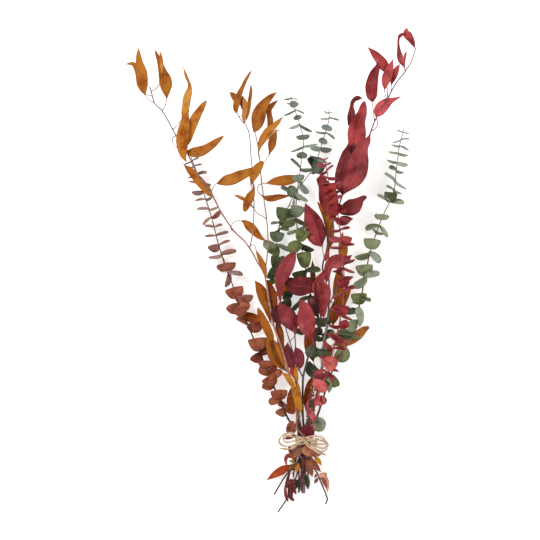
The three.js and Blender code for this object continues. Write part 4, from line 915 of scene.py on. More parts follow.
# orange willow eucalyptus; a leaf's heights, where given, are those of its root and tip
willowLeft = dict(
    seed=11, finish=willowFinish, slot="orange_leaf", stalk="#a4857c",
    tints=[(0, "#c07a20"), (600, "#ae6a20")],
    bark=[
        (-40, "#5a3c38"), (-10, "#7a5a50"), (30, "#b88270"), (140, "#c88e7a"), (240, "#c49484"),
        (380, "#9c7672"), (530, "#86686a"),
    ],
    place=(-1.5, 1), sizes=dict(thick=2.3, tip=0.85),
    below=[(-11, -22, 9.5), (-14, -38, 9), (-16, -56, 7.5)],
    above=[
        (-9, 25, 13), (-12, 50, 21), (-17, 75, 27), (-22, 98, 32), (-26, 112, 34), (-32, 132, 35),
        (-38, 150, 36), (-45, 170, 36.5), (-49, 190, 37), (-53, 212, 37), (-56, 232, 36), (-60, 250, 35),
        (-70, 267, 34), (-78, 282, 33), (-90, 299, 32), (-101, 309, 32), (-110, 320, 31), (-125, 343, 31),
        (-137, 366, 32), (-150, 385, 33), (-163, 405, 34), (-175, 430, 35), (-191, 455, 36), (-213, 494, 38),
        (-224, 505, 39), (-229, 522, 40), (-232, 530, 41),
    ],
    twigs=[
        dict(start=(-81, 288), points=[
            (-78, 305, 33), (-75, 345, 32), (-77, 395, 34), (-80, 432, 36), (-82, 458, 37), (-87, 472, 38),
            (-93, 478, 38), (-101, 491, 39),
        ]),
        dict(start=(-59, 248), points=[
            (-55, 280, 33), (-54, 300, 32), (-56, 331, 30), (-60, 360, 29), (-64, 390, 29), (-67, 425, 32),
            (-70, 445, 33), (-74, 464, 34),
        ]),
        dict(start=(-11, 34), thick=1.3, tip=1.3, points=[
            (-12, 24, 22), (-9.5, 16, 25.5), (-4, 10, 27), (1.5, 5, 27),
        ]),
    ],
    leaves=[
        leaf(None, (-238.3, 517, 1.5), (-240.5, 525, 10.5), (-242.6, 535, 17), (-244, 553, 16.5),
            (-246.7, 565, 11.5), (-248, 577, 7.5), (-247.9, 590, 0), at=(-224, 506), rise=6),
        leaf("#a96a24", (-240, 521, 1.5), (-246, 535, 9), (-248, 550, 10.5), (-252, 560, 9), (-257, 564.3, 6),
            (-262, 564.5, 4), (-268, 563.5, 0), at=(-228, 516), rise=-4),
        leaf("#a8641c", (-205.7, 512, 1.5), (-206.5, 522.5, 11.5), (-207, 532, 18), (-208, 541.5, 18),
            (-211.3, 550, 14), (-214.5, 560, 10), (-218, 571, 6.5), (-221.5, 580, 4.5), (-223.5, 586.5, 0),
            at=(-213, 494), rise=4),
        leaf("#c98a44", (-216.5, 534, 1), (-215.5, 541, 4.5), (-214.8, 550, 6.5), (-213.8, 560, 7.5),
            (-213.3, 571, 5.5), (-214.7, 579, 3.5), (-215.8, 585, 0), at=(-229, 523), rise=4, roll=-0.5),
        leaf("#c88c3c", (-183.5, 481.5, 1.5), (-179, 490, 11), (-177.3, 500, 11.5), (-175.3, 513, 12),
            (-172.3, 523, 9.8), (-171.5, 530, 6), (-172.5, 536, 4), (-175, 541.5, 4.6), (-178.2, 550, 3.6),
            (-181.6, 562.5, 0), at=(-195, 467), rise=-2, twist=0.1),
        leaf("#bc7624", (-176.6, 417, 1.5), (-181, 427.5, 10.5), (-182.6, 446, 18.5), (-180.3, 465, 18),
            (-176.8, 483, 10.5), (-173.3, 497, 0), at=(-191, 457), z=(42, 46), fold=0.08,
            stalkPath=[(-197, 453), (-196.5, 445), (-190, 438), (-182, 425)]),
        leaf("#b87226", (-176, 440, 1.5), (-173, 450, 8), (-169, 465, 12), (-163.5, 482, 14),
            (-154.5, 497, 10), (-150, 504, 7), (-146.3, 509, 1.5), at=(-178, 436), z=(39, 42.5)),
        leaf("#ad6820", (-176, 434, 2), (-171, 432, 11), (-163.5, 431.5, 15.5), (-154, 433.5, 15.5),
            (-144.75, 438, 13), (-133.5, 446, 10), (-125, 452.5, 5.5), (-118.6, 457.8, 0), at=(-175, 432),
            rise=3),
        leaf("#ad661a", (-137, 366, 2.5), (-141.5, 370, 9), (-148, 378, 12.5), (-157, 388, 13),
            (-166, 398.5, 11.5), (-173, 406.5, 9), (-179.5, 412, 2), at=(-134, 361), z=(29, 29.5), arch=0.0),
        leaf("#ac6c22", (-131, 384.5, 1.5), (-126, 386, 8), (-117, 389, 16), (-107, 391.5, 17.5),
            (-96, 396.5, 16.5), (-85, 401, 12.5), (-78, 404, 9.5), (-70, 407, 4), at=(-138, 371), rise=1),
        leaf("#a9621c", (-95, 328.8, 1), (-90, 327.5, 6), (-84, 322.5, 12.8), (-76.5, 315.5, 13.8),
            (-68.5, 306.5, 9.3), (-62, 301.5, 4.5), (-54.5, 297.5, 0), at=(-103, 310), rise=-2,
            stalkPath=[(-110, 317), (-106, 326), (-99, 329)]),
        leaf("#ab661e", (-101, 490, 1.5), (-102.5, 495, 6.5), (-101.8, 501, 9.5), (-99.8, 510, 10.5),
            (-96.5, 520, 8.5), (-92, 530, 6), (-87.3, 540, 5.2), (-81.5, 550, 3.4), (-77.6, 556, 0), rise=6),
        leaf("#a1601c", (-99, 498, 1.5), (-101, 508, 8), (-104, 514, 9.5), (-107.5, 518.5, 7),
            (-112.5, 522, 0), rise=-6),
        # this narrow dark leaf stands for the shaded underside of the leaf beside it: painted shade
        leaf("#6b3812", (-90, 490, 1), (-93, 500, 4), (-94, 508, 5), (-92, 516, 1), rise=-2),
        leaf("#b3763a", (-89.8, 476.5, 1.5), (-90.3, 483, 6.5), (-88.8, 491, 8), (-88.2, 500, 8),
            (-89.3, 508, 7), (-91.5, 515.5, 1), rise=4),
        leaf("#98561a", (-87, 479, 1), (-85, 488, 5), (-83, 500, 6), (-81.5, 510, 5.5), (-79.9, 521, 5),
            (-79.5, 528, 3.5), (-80.2, 534, 0), rise=5),
        leaf("#a5621e", (-75.6, 462, 2), (-73, 466.5, 10), (-70, 475, 17.8), (-68, 486, 20.8),
            (-63.5, 498, 17.8), (-56, 508.5, 11.8), (-48, 516.5, 7), (-38.8, 522.8, 0), rise=7),
        leaf("#96541a", (-54.5, 463, 1.5), (-52, 470, 6.5), (-50.5, 478, 9), (-52, 488, 8), (-52.5, 496, 8.5),
            (-47, 503, 7), (-37.5, 511, 0), at=(-70, 445), rise=-3),
        leaf("#b57227", (-68.6, 430, 1.5), (-66.5, 440, 5.5), (-63.5, 450, 9), (-55, 463, 10),
            (-46.5, 470, 9), (-39, 477, 6), (-30.5, 486.2, 0), at=(-67, 424), rise=3),
        # a narrow leaf tinted pale as the highlight on a lit leaf edge: painted highlight
        leaf("#c58a48", (-67, 436, 1), (-60, 447, 3.5), (-52, 456, 5), (-44, 463, 4.5), (-36.5, 465.2, 0),
            at=(-66, 420), rise=6, roll=0.4),
        leaf("#9c5a1c", (-52.7, 427.5, 1.5), (-50.5, 434, 5.5), (-48.3, 443, 12.2), (-46.3, 452, 11.2),
            (-44, 459, 7.5), (-42.5, 466, 1), at=(-66, 410), rise=4),
        leaf("#b06e22", (-79.5, 382, 1.5), (-78, 389, 6.5), (-75.5, 397, 13), (-71.5, 405, 14.2),
            (-67, 411, 12), (-63.5, 415.5, 8), (-61.5, 418.5, 2), at=(-77, 376), rise=7),
        leaf("#ad6a1c", (-74.3, 379.5, 1.5), (-76.5, 373.5, 6.5), (-80, 366.5, 12.6), (-84, 358, 13),
            (-87, 350.5, 10.8), (-88.6, 345, 7.5), (-89.3, 342.2, 2), at=(-77, 384), rise=6),
        leaf("#bd7c30", (-74, 345.5, 0.8), (-79, 352, 2.6), (-86, 358.5, 4.2), (-92, 362, 5.7),
            (-98, 365, 4.8), (-105.5, 368, 0.5), at=(-58, 331), rise=2, stalkPath=[(-62, 335.5), (-69, 339)]),
        leaf("#a5601c", (-57, 385, 1), (-50, 386.5, 7), (-42, 388, 12.2), (-32, 389, 15.8), (-22, 390.5, 15),
            (-13, 392.5, 10), (-6, 395, 1), at=(-62, 386), rise=-3),
        leaf("#a05c1c", (-68, 370.5, 0.8), (-61, 365, 3.5), (-55, 362.8, 8.5), (-48, 362.5, 10),
            (-38, 364.5, 8.7), (-29, 365.5, 5), (-20, 366.5, 0), at=(-63, 384), rise=-3,
            stalkPath=[(-67, 383), (-69.5, 377)]),
        leaf("#af651e", (-72, 285, 1), (-68.5, 277, 5.5), (-64.5, 269, 8), (-60.5, 260, 8), (-58, 251, 5.5),
            (-56.5, 243.5, 1), at=(-80, 290), rise=3, stalkPath=[(-77.5, 293), (-73.5, 291)]),
        # the next two leaves' tints are darkened to the shaded tone they show: partly their own colour,
        # partly painted shade
        leaf("#94500a", (-50, 176, 2), (-52, 188, 9), (-55, 200, 14), (-59.5, 212, 17), (-64, 223, 16),
            (-68, 231, 11), (-73.6, 239, 1), at=(-46, 170), z=(32, 30), fold=-0.3),
        leaf("#8c3e08", (-44, 182, 2), (-46.5, 195, 12), (-47.5, 208, 16), (-48.5, 220, 14), (-51, 231, 8),
            (-55, 240, 2), at=(-46, 174), z=(31, 25)),
        leaf("#af5713", (-44, 214, 1.5), (-37, 222, 9), (-30, 229, 12), (-24, 234, 9), (-18, 240, 1),
            at=(-53, 212), z=(29, 43)),
        leaf("#ac5a0e", (-57, 178, 2), (-67, 180, 12), (-78, 183, 15), (-88, 186, 12), (-99, 188, 1),
            at=(-47, 177), z=(12, 4)),
        leaf("#a05810", (-46, 146, 2), (-49.5, 154, 10), (-54.2, 164, 12.5), (-58.7, 175, 12),
            (-63.3, 185, 10.5), (-66.8, 192.5, 7.5), (-69.2, 198.8, 1), at=(-38, 148), rise=-2),
        leaf("#98560f", (-25.5, 102.5, 1.5), (-33.5, 109.5, 7), (-41.2, 117.5, 12.5), (-47.3, 128, 14.5),
            (-50.5, 139, 13.5), (-52.7, 149, 10.5), (-54.8, 158, 3), at=(-22, 98), rise=2, fold=-0.4),
        # a narrow dark leaf laid along the line between the leaves beside it: painted shadow
        leaf("#6a3408", (-30, 107, 1), (-37.5, 116, 4.5), (-42.5, 126, 5.5), (-45.5, 137, 4.5),
            (-47.5, 149, 1), at=(-23, 102), z=(36.5, 38.5)),
        leaf("#ac6418", (-28, 107.5, 1.5), (-31.8, 116, 6.8), (-35.8, 125, 9.3), (-39.4, 134, 8.8),
            (-42, 142, 7.3), (-44.3, 150, 1.5), at=(-24, 104), rise=6, fold=-0.2),
        leaf("#844008", (-30, 116, 1.5), (-33, 129, 7.5), (-34.5, 143, 10.2), (-35.5, 155, 11.2),
            (-37.5, 166, 10.5), (-41, 178, 4), at=(-26, 112), rise=-7),
        leaf("#8c430b", (-14.5, 42, 2), (-18, 48, 12), (-19.5, 57, 13), (-19, 66, 12), (-17.5, 74, 9),
            (-16.3, 82, 2), at=(-11, 44), z=(19, 24)),
        leaf("#a63e18", (-19, -38, 2.5), (-26, -41.5, 9.5), (-34, -46, 12.8), (-45, -52.5, 9.5),
            (-57.5, -61.5, 0), at=(-13, -35), z=(8, 4)),
        leaf("#c07a34", (-10.5, -32.5, 3), (-10.8, -37, 8), (-10.3, -43.5, 8), (-10.5, -50, 2), at=(-14, -34),
            z=(14, 13)),
        leaf("#8a5426", (-13, -37, 3), (-17, -40, 9.5), (-21, -43, 9), (-24, -48, 2), at=(-14, -38),
            z=(11, 9), roll=0.3),
        leaf("#8c4a1c", (-23, -9, 2), (-21.5, -14, 5), (-19, -20, 6), (-16.5, -26, 5.5), (-15, -32, 2),
            at=(-11, -24), z=(21, 17)),
        leaf("#8c7c4c", (-11.5, -34.5, 1.5), (-15, -33.5, 3.8), (-19, -32, 3.8), (-23, -31, 1), at=(-13, -34),
            z=(15, 15)),
    ],
)
growSpray("willow_spray_left", willowLeft)

willowLow = dict(
    seed=12, finish=willowFinish, slot="orange_leaf", stalk="#b0743c",
    tints=[(0, "#c4841e"), (200, "#b8701c")],
    bark=[(-40, "#5a3c34"), (20, "#8a6048"), (60, "#b0743c")],
    place=(-0.5, 1), sizes=dict(thick=1.3),
    below=[(-3, -30, 9.5), (-4, -42, 9.5)],
    above=[(-5, 24, 15), (-7.5, 36, 20), (-9, 55, 27), (-11, 75, 32), (-14, 98, 34)],
    leaves=[
        leaf("#b8781c", (-4, 40.5, 1.5), (-6, 48, 8.2), (-8.5, 56, 11.8), (-10, 65, 12.2), (-10.2, 73, 10.8),
            (-9.7, 80, 7.6), (-9.4, 87, 1), at=(-7, 34), z=(27, 38)),
        leaf("#b8741c", (-12, 82, 1.5), (-11.6, 90, 6.2), (-12, 98, 6.8), (-12.7, 105, 5.6),
            (-12.2, 112, 0.8), at=(-11, 70), rise=4),
        leaf("#c48528", (-14.6, 75.5, 1.5), (-16.5, 81, 6.8), (-19.5, 87, 8.8), (-23.5, 92.5, 8.2),
            (-28, 97.5, 6), (-33.5, 101.8, 1), at=(-12, 72), z=(37, 40)),
        leaf("#a73211", (-15, 92, 1), (-18, 100, 5), (-18, 106, 6), (-15, 112, 2), at=(-14, 96), z=(34, 32)),
    ],
)
growSpray("willow_spray_low", willowLow)

willowBack = dict(
    seed=13, finish=willowFinish, slot="orange_leaf", stalk="#b08060",
    tints=[(0, "#b8701c"), (400, "#b06a1c")],
    bark=[
        (-80, "#a07e76"), (-40, "#6a4a48"), (0, "#8a7878"), (60, "#a09098"), (200, "#a09aa4"),
        (280, "#8a6a50"),
    ],
    place=(0, 0), sizes=dict(thick=2.6, tip=1.1, foot=2.9),
    below=[(0, -30, 5.2), (-1, -80, 5.2)],
    above=[
        (4, 24, 6), (9, 36, 7), (15, 52, 9), (20, 72, 10), (25, 100, 12), (30, 130, 13.5), (33, 155, 15),
        (36, 185, 16), (38, 215, 18), (37, 250, 21), (37, 285, 23),
    ],
    twigs=[
        dict(start=(37, 202), points=[(46, 222, 20), (52, 240, 22), (56, 262, 24)]),
    ],
    leaves=[
        leaf("#a8661c", (37, 284, 2), (38.5, 296, 8.8), (39.5, 308, 11.8), (38.5, 320, 13.8), (35, 332, 12.8),
            (30, 342, 9.8), (25, 350, 6.6), (19.6, 357.5, 1), rise=8),
        leaf("#b4701c", (37, 290, 1), (41, 296, 6), (43, 302, 6), (43.5, 309, 1), at=(37, 280), rise=3),
        leaf("#b06c1c", (56, 262, 1.5), (57.5, 272, 9.8), (58.5, 282, 13.8), (58.5, 292, 13.6),
            (57, 302, 8.6), (58, 312, 1), rise=6),
        leaf("#ae6216", (47, 204, 2), (50, 213, 12.8), (50.5, 225, 14.8), (51.5, 238, 13.8), (53, 250, 10.8),
            (53.8, 260, 6), (54.5, 267, 0.5), at=(41, 208), rise=-2),
        leaf("#ac5e12", (38, 177, 3), (42, 184, 13.6), (48, 195, 17.6), (54, 206, 18), (60, 216, 14.8),
            (66, 225, 9.6), (72.5, 233, 1), at=(37, 188), z=(14, 12)),
        leaf("#93480b", (43, 172, 2), (45, 184, 14), (46.5, 196, 13), (47, 208, 1), at=(35, 170), z=(11, 12)),
        # this leaf's tint is made brighter to make up for the shadow the green leaves cast on it: partly its
        # own colour, partly painted light
        leaf("#e08e48", (44, 143, 3), (56, 145, 11.5), (66, 149, 15), (76, 154, 15.5), (84, 160, 13.6),
            (91, 166, 9.4), (97.5, 169.5, 4), at=(30, 128), z=(2.5, 3)),
        leaf("#a44913", (14, 118, 2), (12, 128, 13.5), (9.5, 140, 18), (8.5, 150, 17.6), (7, 160, 11.6),
            (5, 170.5, 1), at=(24, 92), z=(13, 22)),
        leaf("#a34d11", (24, 218, 1.5), (18, 228, 6.5), (14.5, 240, 8.6), (13, 252, 7.6), (13, 262, 4.6),
            (12.8, 269.5, 0.5), at=(37, 200), z=(16, 20)),
        leaf("#89400c", (3, 44, 2), (4, 56, 9.5), (6, 67, 12.5), (8, 78, 12.5), (10, 87, 8.6),
            (13.6, 96.5, 1), at=(9, 35), z=(12, 17)),
    ],
)
growSpray("willow_spray_back", willowBack)

# spiral eucalyptus, with leaves in opposite pairs
spiralBrown = dict(
    seed=21, finish=rustFinish, slot="rust_leaf", stalk="#5a4440",
    tints=[(0, "#a86044"), (250, "#b0664c"), (300, "#a8705e"), (350, "#a27c74"), (430, "#9c8482")],
    bark=[
        (-95, "#6a3a34"), (-50, "#643a34"), (0, "#4c3632"), (60, "#4a4340"), (300, "#57504e"),
        (430, "#6e6664"),
    ],
    place=(0.5, 3),
    below=[
        (4, -17, 19.3), (7, -28, 18.5), (12, -38, 15.5), (20, -50, 12), (24, -60, 10), (29, -72, 8),
        (33, -82, 6), (35, -90, 5), (32, -96, 4),
    ],
    above=[
        (-4, 15, 22), (-13, 20, 21), (-22, 29, 18.5), (-29, 43, 17.5), (-37, 62, 17), (-44, 77, 16.5),
        (-49, 91, 16), (-57, 110, 16), (-69, 137, 16), (-79, 160, 16), (-90, 185, 16.5), (-97, 201, 17),
        (-102, 215, 17), (-108, 235, 16.5), (-114, 250, 16), (-122, 273, 15.5), (-130, 300, 15.5),
        (-139, 335, 15.5), (-151, 372, 15.5), (-160, 400, 16), (-170, 425, 18),
    ],
    pairs=[
        (419, (-182, 414, 2), (-157, 422, 2), 7),
        (411, (-174, 409, 2), (-153, 412, 2), 8),
        (399, (-176, 394, 2), (-145, 400, 5), 10),
        (387, (-173, 390, 2), (-140, 383, 6), 12),
        (373, (-168, 372, 7), (-141, 377, 3), 13),
        (361, (-163, 357, 2), (-137, 367, 3), 14),
        (346, (-160, 344, 4), (-128, 352, 2), 15),
        (334, (-150, 321, 4), (-126, 345, 7), 15),
        (319, (-148, 319, 2), (-122, 321, 2), 17),
        (306, (-148, 303, 2), (-113, 309, 4), 17),
        (292, (-143, 288, 12), (-110, 297, 2), 18),
        (278, (-144, 276, 4), (-101, 280, 8), 19),
        # the left leaf's tint is made lighter to make up for the shade it lies in: partly its own colour,
        # partly painted light
        (250, (-119, 230, 8, "#c8a090"), (-92, 245, 6, "#b09490"), 20),
        (212, None, (-77, 216, 13, "#bc8270"), 20),
        (203, (-115, 195, 16), (-83, 195, 14), 20),
        (171, (-103, 180, 6), (-62, 173, 16), 22),
        (130, (-78, 119, 15, "#8c4630"), (-52, 131, 13, "#5e2a1e"), 20),
        (100, (-69, 103, 15), (-41, 107, 18), 22),
        (91, (-60, 77, 16), (-31, 101, 12), 20),
        (61, (-51, 52, 12), (-26, 51, 9), 19),
        (46, (-40, 39, 14), (-15, 38, 10), 18),
    ],
    frontPairs=[
        (254, -118, 268, 30, 12.5),
        (213, -106, 231, 28, 11),
        (187, -98, 199, 20, 9),
        (134, -71, 155, 28, 11),
        (108, -56, 121, 26, 10),
        (82, -55, 97, 24, 10),
        (61, -38, 77, 26, 10),
    ],
    leaves=[
        leaf("#8c4e38", (-19, 9, 9), (-19.5, 14, 15), (-19.5, 20, 14), (-18, 25, 10), (-17, 29, 3),
            at=(-10, 17), z=(22, 25)),
        leaf("#944420", (-11, 6.5, 3), (-17, 5.5, 5.5), (-23, 3.5, 6), (-29.5, 1.5, 1.5), at=(-6, 14),
            z=(24, 22)),
        leaf("#2c211c", (6, -2.5, 3), (12, -1.5, 5), (18, 0, 5), (22.5, 2, 1), at=(2, -3), z=(22, 21)),
        leaf("#33251e", (9, -8, 3), (15, -7.5, 5), (22, -4.5, 1), at=(3, -8), z=(21, 20)),
        leaf("#8c5a4a", (-8, -3.5, 5), (-9.5, -9, 12.5), (-10, -14, 14), (-10, -20, 14), (-9.5, -26, 5),
            at=(3, -12), z=(22, 19)),
        leaf("#b07456", (-4.5, -16, 4), (0, -15.5, 13), (7, -16.5, 16.5), (14, -18.5, 14), (19, -20.5, 10),
            (23, -22.5, 3), at=(4, -15), z=(25, 20)),
        leaf("#7c3822", (-3, -4, 4), (2, -6, 7), (7, -8.5, 7), (12, -12, 3), at=(3, -10), z=(24, 23)),
        leaf("#824836", (3, -29, 2), (6, -36, 8), (9, -44, 9.5), (11, -49, 7.5), (12.5, -54.5, 1),
            at=(7, -28), z=(16, 13), roll=0.3),
        leaf("#6c3a2c", (5, -26, 2), (4, -34, 7), (4.5, -42, 7), (6, -50, 1), at=(7, -28), z=(13, 11)),
        leaf("#9e5e46", (7, -24, 4), (10, -30, 9), (12.5, -37, 8), (14, -44, 2), at=(10, -33), z=(18, 16)),
        leaf("#5a2a24", (-1, -22, 3), (-1.5, -32, 6), (-2.5, -42, 5.5), (-4.5, -54, 2), at=(5, -22),
            z=(15, 12)),
        leaf("#40221c", (2, -22, 3), (1.5, -32, 6), (2, -42, 5), (2.5, -50, 1), at=(5, -22), z=(12, 10)),
        leaf("#211c1c", (-6.5, -22, 3), (-6.5, -29, 4.5), (-6, -36, 4.5), (-4, -43, 1), at=(4, -17),
            z=(13, 12)),
        leaf("#9a5a44", (12, -28, 2), (16, -35, 6.5), (20, -42, 6.5), (25, -48, 1), at=(12, -38), z=(18, 14),
            roll=-0.3),
        leaf("#dca48c", (20.5, -53, 2), (24, -53, 6), (28.5, -53, 9), (32, -53.5, 10), (34, -54, 6),
            at=(20, -50), z=(13, 12)),
        leaf("#e0aa92", (33, -55, 4), (33.5, -61, 8), (34.5, -68, 6.5), (35, -74, 4), (35, -78.5, 1),
            at=(24, -60), z=(12.5, 8.5)),
        leaf("#a25c42", (27, -56, 3), (29.5, -61, 6), (32, -67, 5), (34, -73, 1), at=(24, -60), z=(13.5, 10)),
        leaf("#8a5040", (21, -57, 2), (18.5, -60.5, 6), (16, -65, 2), at=(22, -55), z=(11, 8)),
        leaf("#84463a", (21, -51.5, 1.5), (18.5, -53, 4.5), (16, -56.5, 1.5), at=(21, -52), z=(12, 9)),
    ],
    hanging=[(262, (-122, 262, 0.4), 24)],
)
growSpray("spiral_spray_brown", spiralBrown)

spiralGreenCentre = dict(
    seed=22, finish=greenFinish, slot="green_leaf", stalk="#8a5a50",
    tints=[
        (50, "#565c3e"), (170, "#565c3a"), (250, "#636a42"), (300, "#787c48"), (380, "#7e8872"),
        (520, "#9aa8a4"),
    ],
    bark=[(-70, "#6a4a48"), (0, "#7a5a50"), (100, "#8a7064"), (330, "#9a5c54"), (520, "#8a6a62")],
    place=(1, 0), sizes=dict(thick=1.4),
    below=[(6, -30, 5.2), (6, -72, 5.2)],
    above=[
        (9, 24, 10), (14, 45, 16), (21, 75, 23), (28, 108, 28), (30, 132, 30), (27, 158, 31), (20, 185, 32),
        (11, 215, 33), (4, 240, 34), (2, 258, 36), (-2, 280, 38), (-7, 300, 40), (-12, 335, 42),
        (-11, 365, 43), (-9, 380, 43), (-5, 410, 44), (-1, 450, 44), (-7, 475, 45), (-14, 496, 46),
        (-20, 517, 48),
    ],
    twigs=[
        dict(start=(28, 108), thick=2.3, tip=1.7, tint="#a29aa2", points=[
            (27, 118, 32), (28.5, 138, 35), (31.5, 155, 37), (34.5, 175, 38), (37, 192, 37),
        ]),
    ],
    pairs=[
        (513, (-30, 512, 2), (-9, 509, 2), 6),
        (505, (-26, 506, 3), (-7, 502, 3), 7),
        (495, (-31, 488, 2), (0, 488, 2), 10),
        (474, (-23, 469, 4), (13, 464, 4), 13),
        (441, (-21, 434, 2), (20, 446, 2), 15),
        (407, (-22, 420, 3), (14, 408, 5), 18),
        (371, (-24, 376, 17, "#66705a"), (7, 360, 5), 18),
        (333, (-26, 328, 3), (8, 324, 6), 19),
        (313, (-23, 306, 5), (10, 318, 4), 19),
        (295, (-22, 281, 18), (15, 286, 8, "#48523a"), 20),
        (253, (-17, 248, 12), (25, 252, 9, "#465036"), 20),
        (214, (-6, 205, 6), (29, 222, 6), 20),
        (152, (14, 160, 8), (47, 160, 12), 20),
        (99, (11, 104, 6), (45, 96, 11), 20),
        (54, (6, 58, 12), (29, 54, 7), 14),
    ],
    frontPairs=[
        (499, -16, 510, 13, 5),
        (481, -11, 489, 13, 8),
        (451, -2, 460, 21, 11),
        (423, -3, 434, 17, 10),
        (388, -9, 400, 19, 10),
        (336, -8, 353, 21, 9),
        (299, 0, 317, 21, 9),
        (259, -1, 283, 22, 8),
        (231, 5, 246, 21, 11),
        (200, 16, 218, 21, 10),
        (171, 27, 184, 23, 10),
        (121, 33, 138, 24, 11),
    ],
    leaves=[
        dict(at=(22, 76), root=(22, 76), tip=(32, 92), wide=21, rise=9, cut="fan"),
        leaf("#56624a", (20, 91, 2), (17, 97, 12), (12.5, 103, 18), (9, 110, 15.5), (8, 118, 3), z=(19, 22),
            at=(24, 90)),
        leaf("#525a46", (25, 181, 3), (30, 178, 12), (35, 177, 13), (41, 178, 4), z=(32, 30)),
        leaf("#525c44", (25, 128, 3), (20, 130, 14), (13, 132, 19), (6, 133, 16), (2, 134, 5), z=(28, 26)),
        leaf("#4a543c", (27, 158, 3), (24, 161, 12), (20, 164, 14), (16, 166, 4), z=(29, 27)),
        leaf("#5a6250", (5, -53, 3), (5.5, -60, 6.5), (6, -67, 6), (6, -74, 2), z=(7, 6)),
        leaf("#22241e", (3, -52, 2), (3.5, -59, 4.5), (4, -66, 4.5), (5, -72, 1), z=(8, 8)),
    ],
)
growSpray("spiral_spray_green_centre", spiralGreenCentre)

spiralGreenBack = dict(
    seed=23, finish=greenFinish, slot="green_leaf", stalk="#8a5a50",
    tints=[
        (50, "#525a38"), (200, "#545c38"), (270, "#5e6640"), (300, "#6a7046"), (380, "#748276"),
        (500, "#9caaa6"),
    ],
    bark=[(-70, "#5a3c38"), (0, "#6a5248"), (100, "#806860"), (330, "#95584f"), (520, "#8a6a62")],
    place=(-1, 0), sizes=dict(thick=1.3),
    below=[(-7, -30, 5.2), (-8, -74, 5.2)],
    above=[
        (-7, 30, 7), (-9, 60, 9), (-11, 90, 11), (-12, 125, 13), (-15, 165, 15), (-25, 200, 16),
        (-35, 225, 16), (-42, 250, 16), (-43, 278, 16), (-42, 292, 16), (-39, 310, 16), (-33, 335, 16),
        (-25, 347, 16), (-15, 368, 15.5), (-5, 382, 15.5), (5, 395, 16), (12, 405, 16), (19, 420, 17),
        (25, 438, 17), (30, 455, 18), (34, 467, 19), (38, 485, 21), (36, 494, 22),
    ],
    pairs=[
        (490, (30, 494, 2), (43, 491, 2), 5),
        (483, (24, 483, 2), (52, 478, 2), 8),
        (461, (17, 464, 2), (45, 450, 3), 11),
        (438, (9, 441, 8), (41, 436, 8), 14),
        (424, (9, 427, 5), (35, 418, 4), 15),
        (409, (4, 422, 9, "#464e42"), (30, 408, 14), 17),
        (384, (-18, 390, 4), (8, 371, 9), 17),
        (368, (-36, 377, 6), (-2, 362, 4), 17),
        (340, None, (-16, 340, 8), 18),
        (326, (-49, 322, 2), (-13, 333, 19, "#6a7650"), 20),
        (316, (-48, 312, 3), (-23, 313, 5), 17),
        (292, (-61, 297, 14), (-24, 281, 6), 20),
        (262, (-54, 243, 13), (-27, 272, 6), 20),
        (240, (-53, 230, 9), (-28, 248, 5), 18),
        (226, (-46, 221, 4), (-17, 219, 15, "#424a34"), 20),
        (194, (-36, 188, 4), (-5, 212, 6, "#424a34"), 20),
        (163, None, (-1, 157, 10), 20),
    ],
    frontPairs=[
        (465, 36, 474, 17, 7),
        (445, 31, 454, 14, 8),
        (331, -31, 350, 20, 9, "#647050"),
        (298, -40, 314, 22, 10),
        (258, -38, 277, 21, 10),
        (197, -32, 210, 22, 10),
        (175, -16, 190, 20, 9),
    ],
    leaves=[
        leaf("#a2b0a8", (-17, 350, 2), (-15.5, 356, 4.8), (-15, 363, 1.5), z=(18, 20)),
        leaf("#424a36", (-32, 212, 3), (-27, 214, 12), (-24, 219, 15), (-21, 225, 12), (-18, 229, 3),
            z=(20, 22)),
        leaf("#66725c", (13, 399, 3), (16, 404, 12), (19.5, 411, 17), (22, 418, 14), (24, 424, 4),
            z=(17, 20)),
        dict(root=(-42, 291), tip=(-48, 277), wide=20, rise=9, cut="fan"),
        leaf("#4c5a40", (-10, -60, 4), (-12, -64, 9), (-13, -69, 8), (-13.5, -74, 3), z=(7, 5)),
        leaf("#262821", (-8.5, -59, 3), (-8.5, -66, 5), (-8, -74, 2), z=(9, 8)),
    ],
)
growSpray("spiral_spray_green_back", spiralGreenBack)

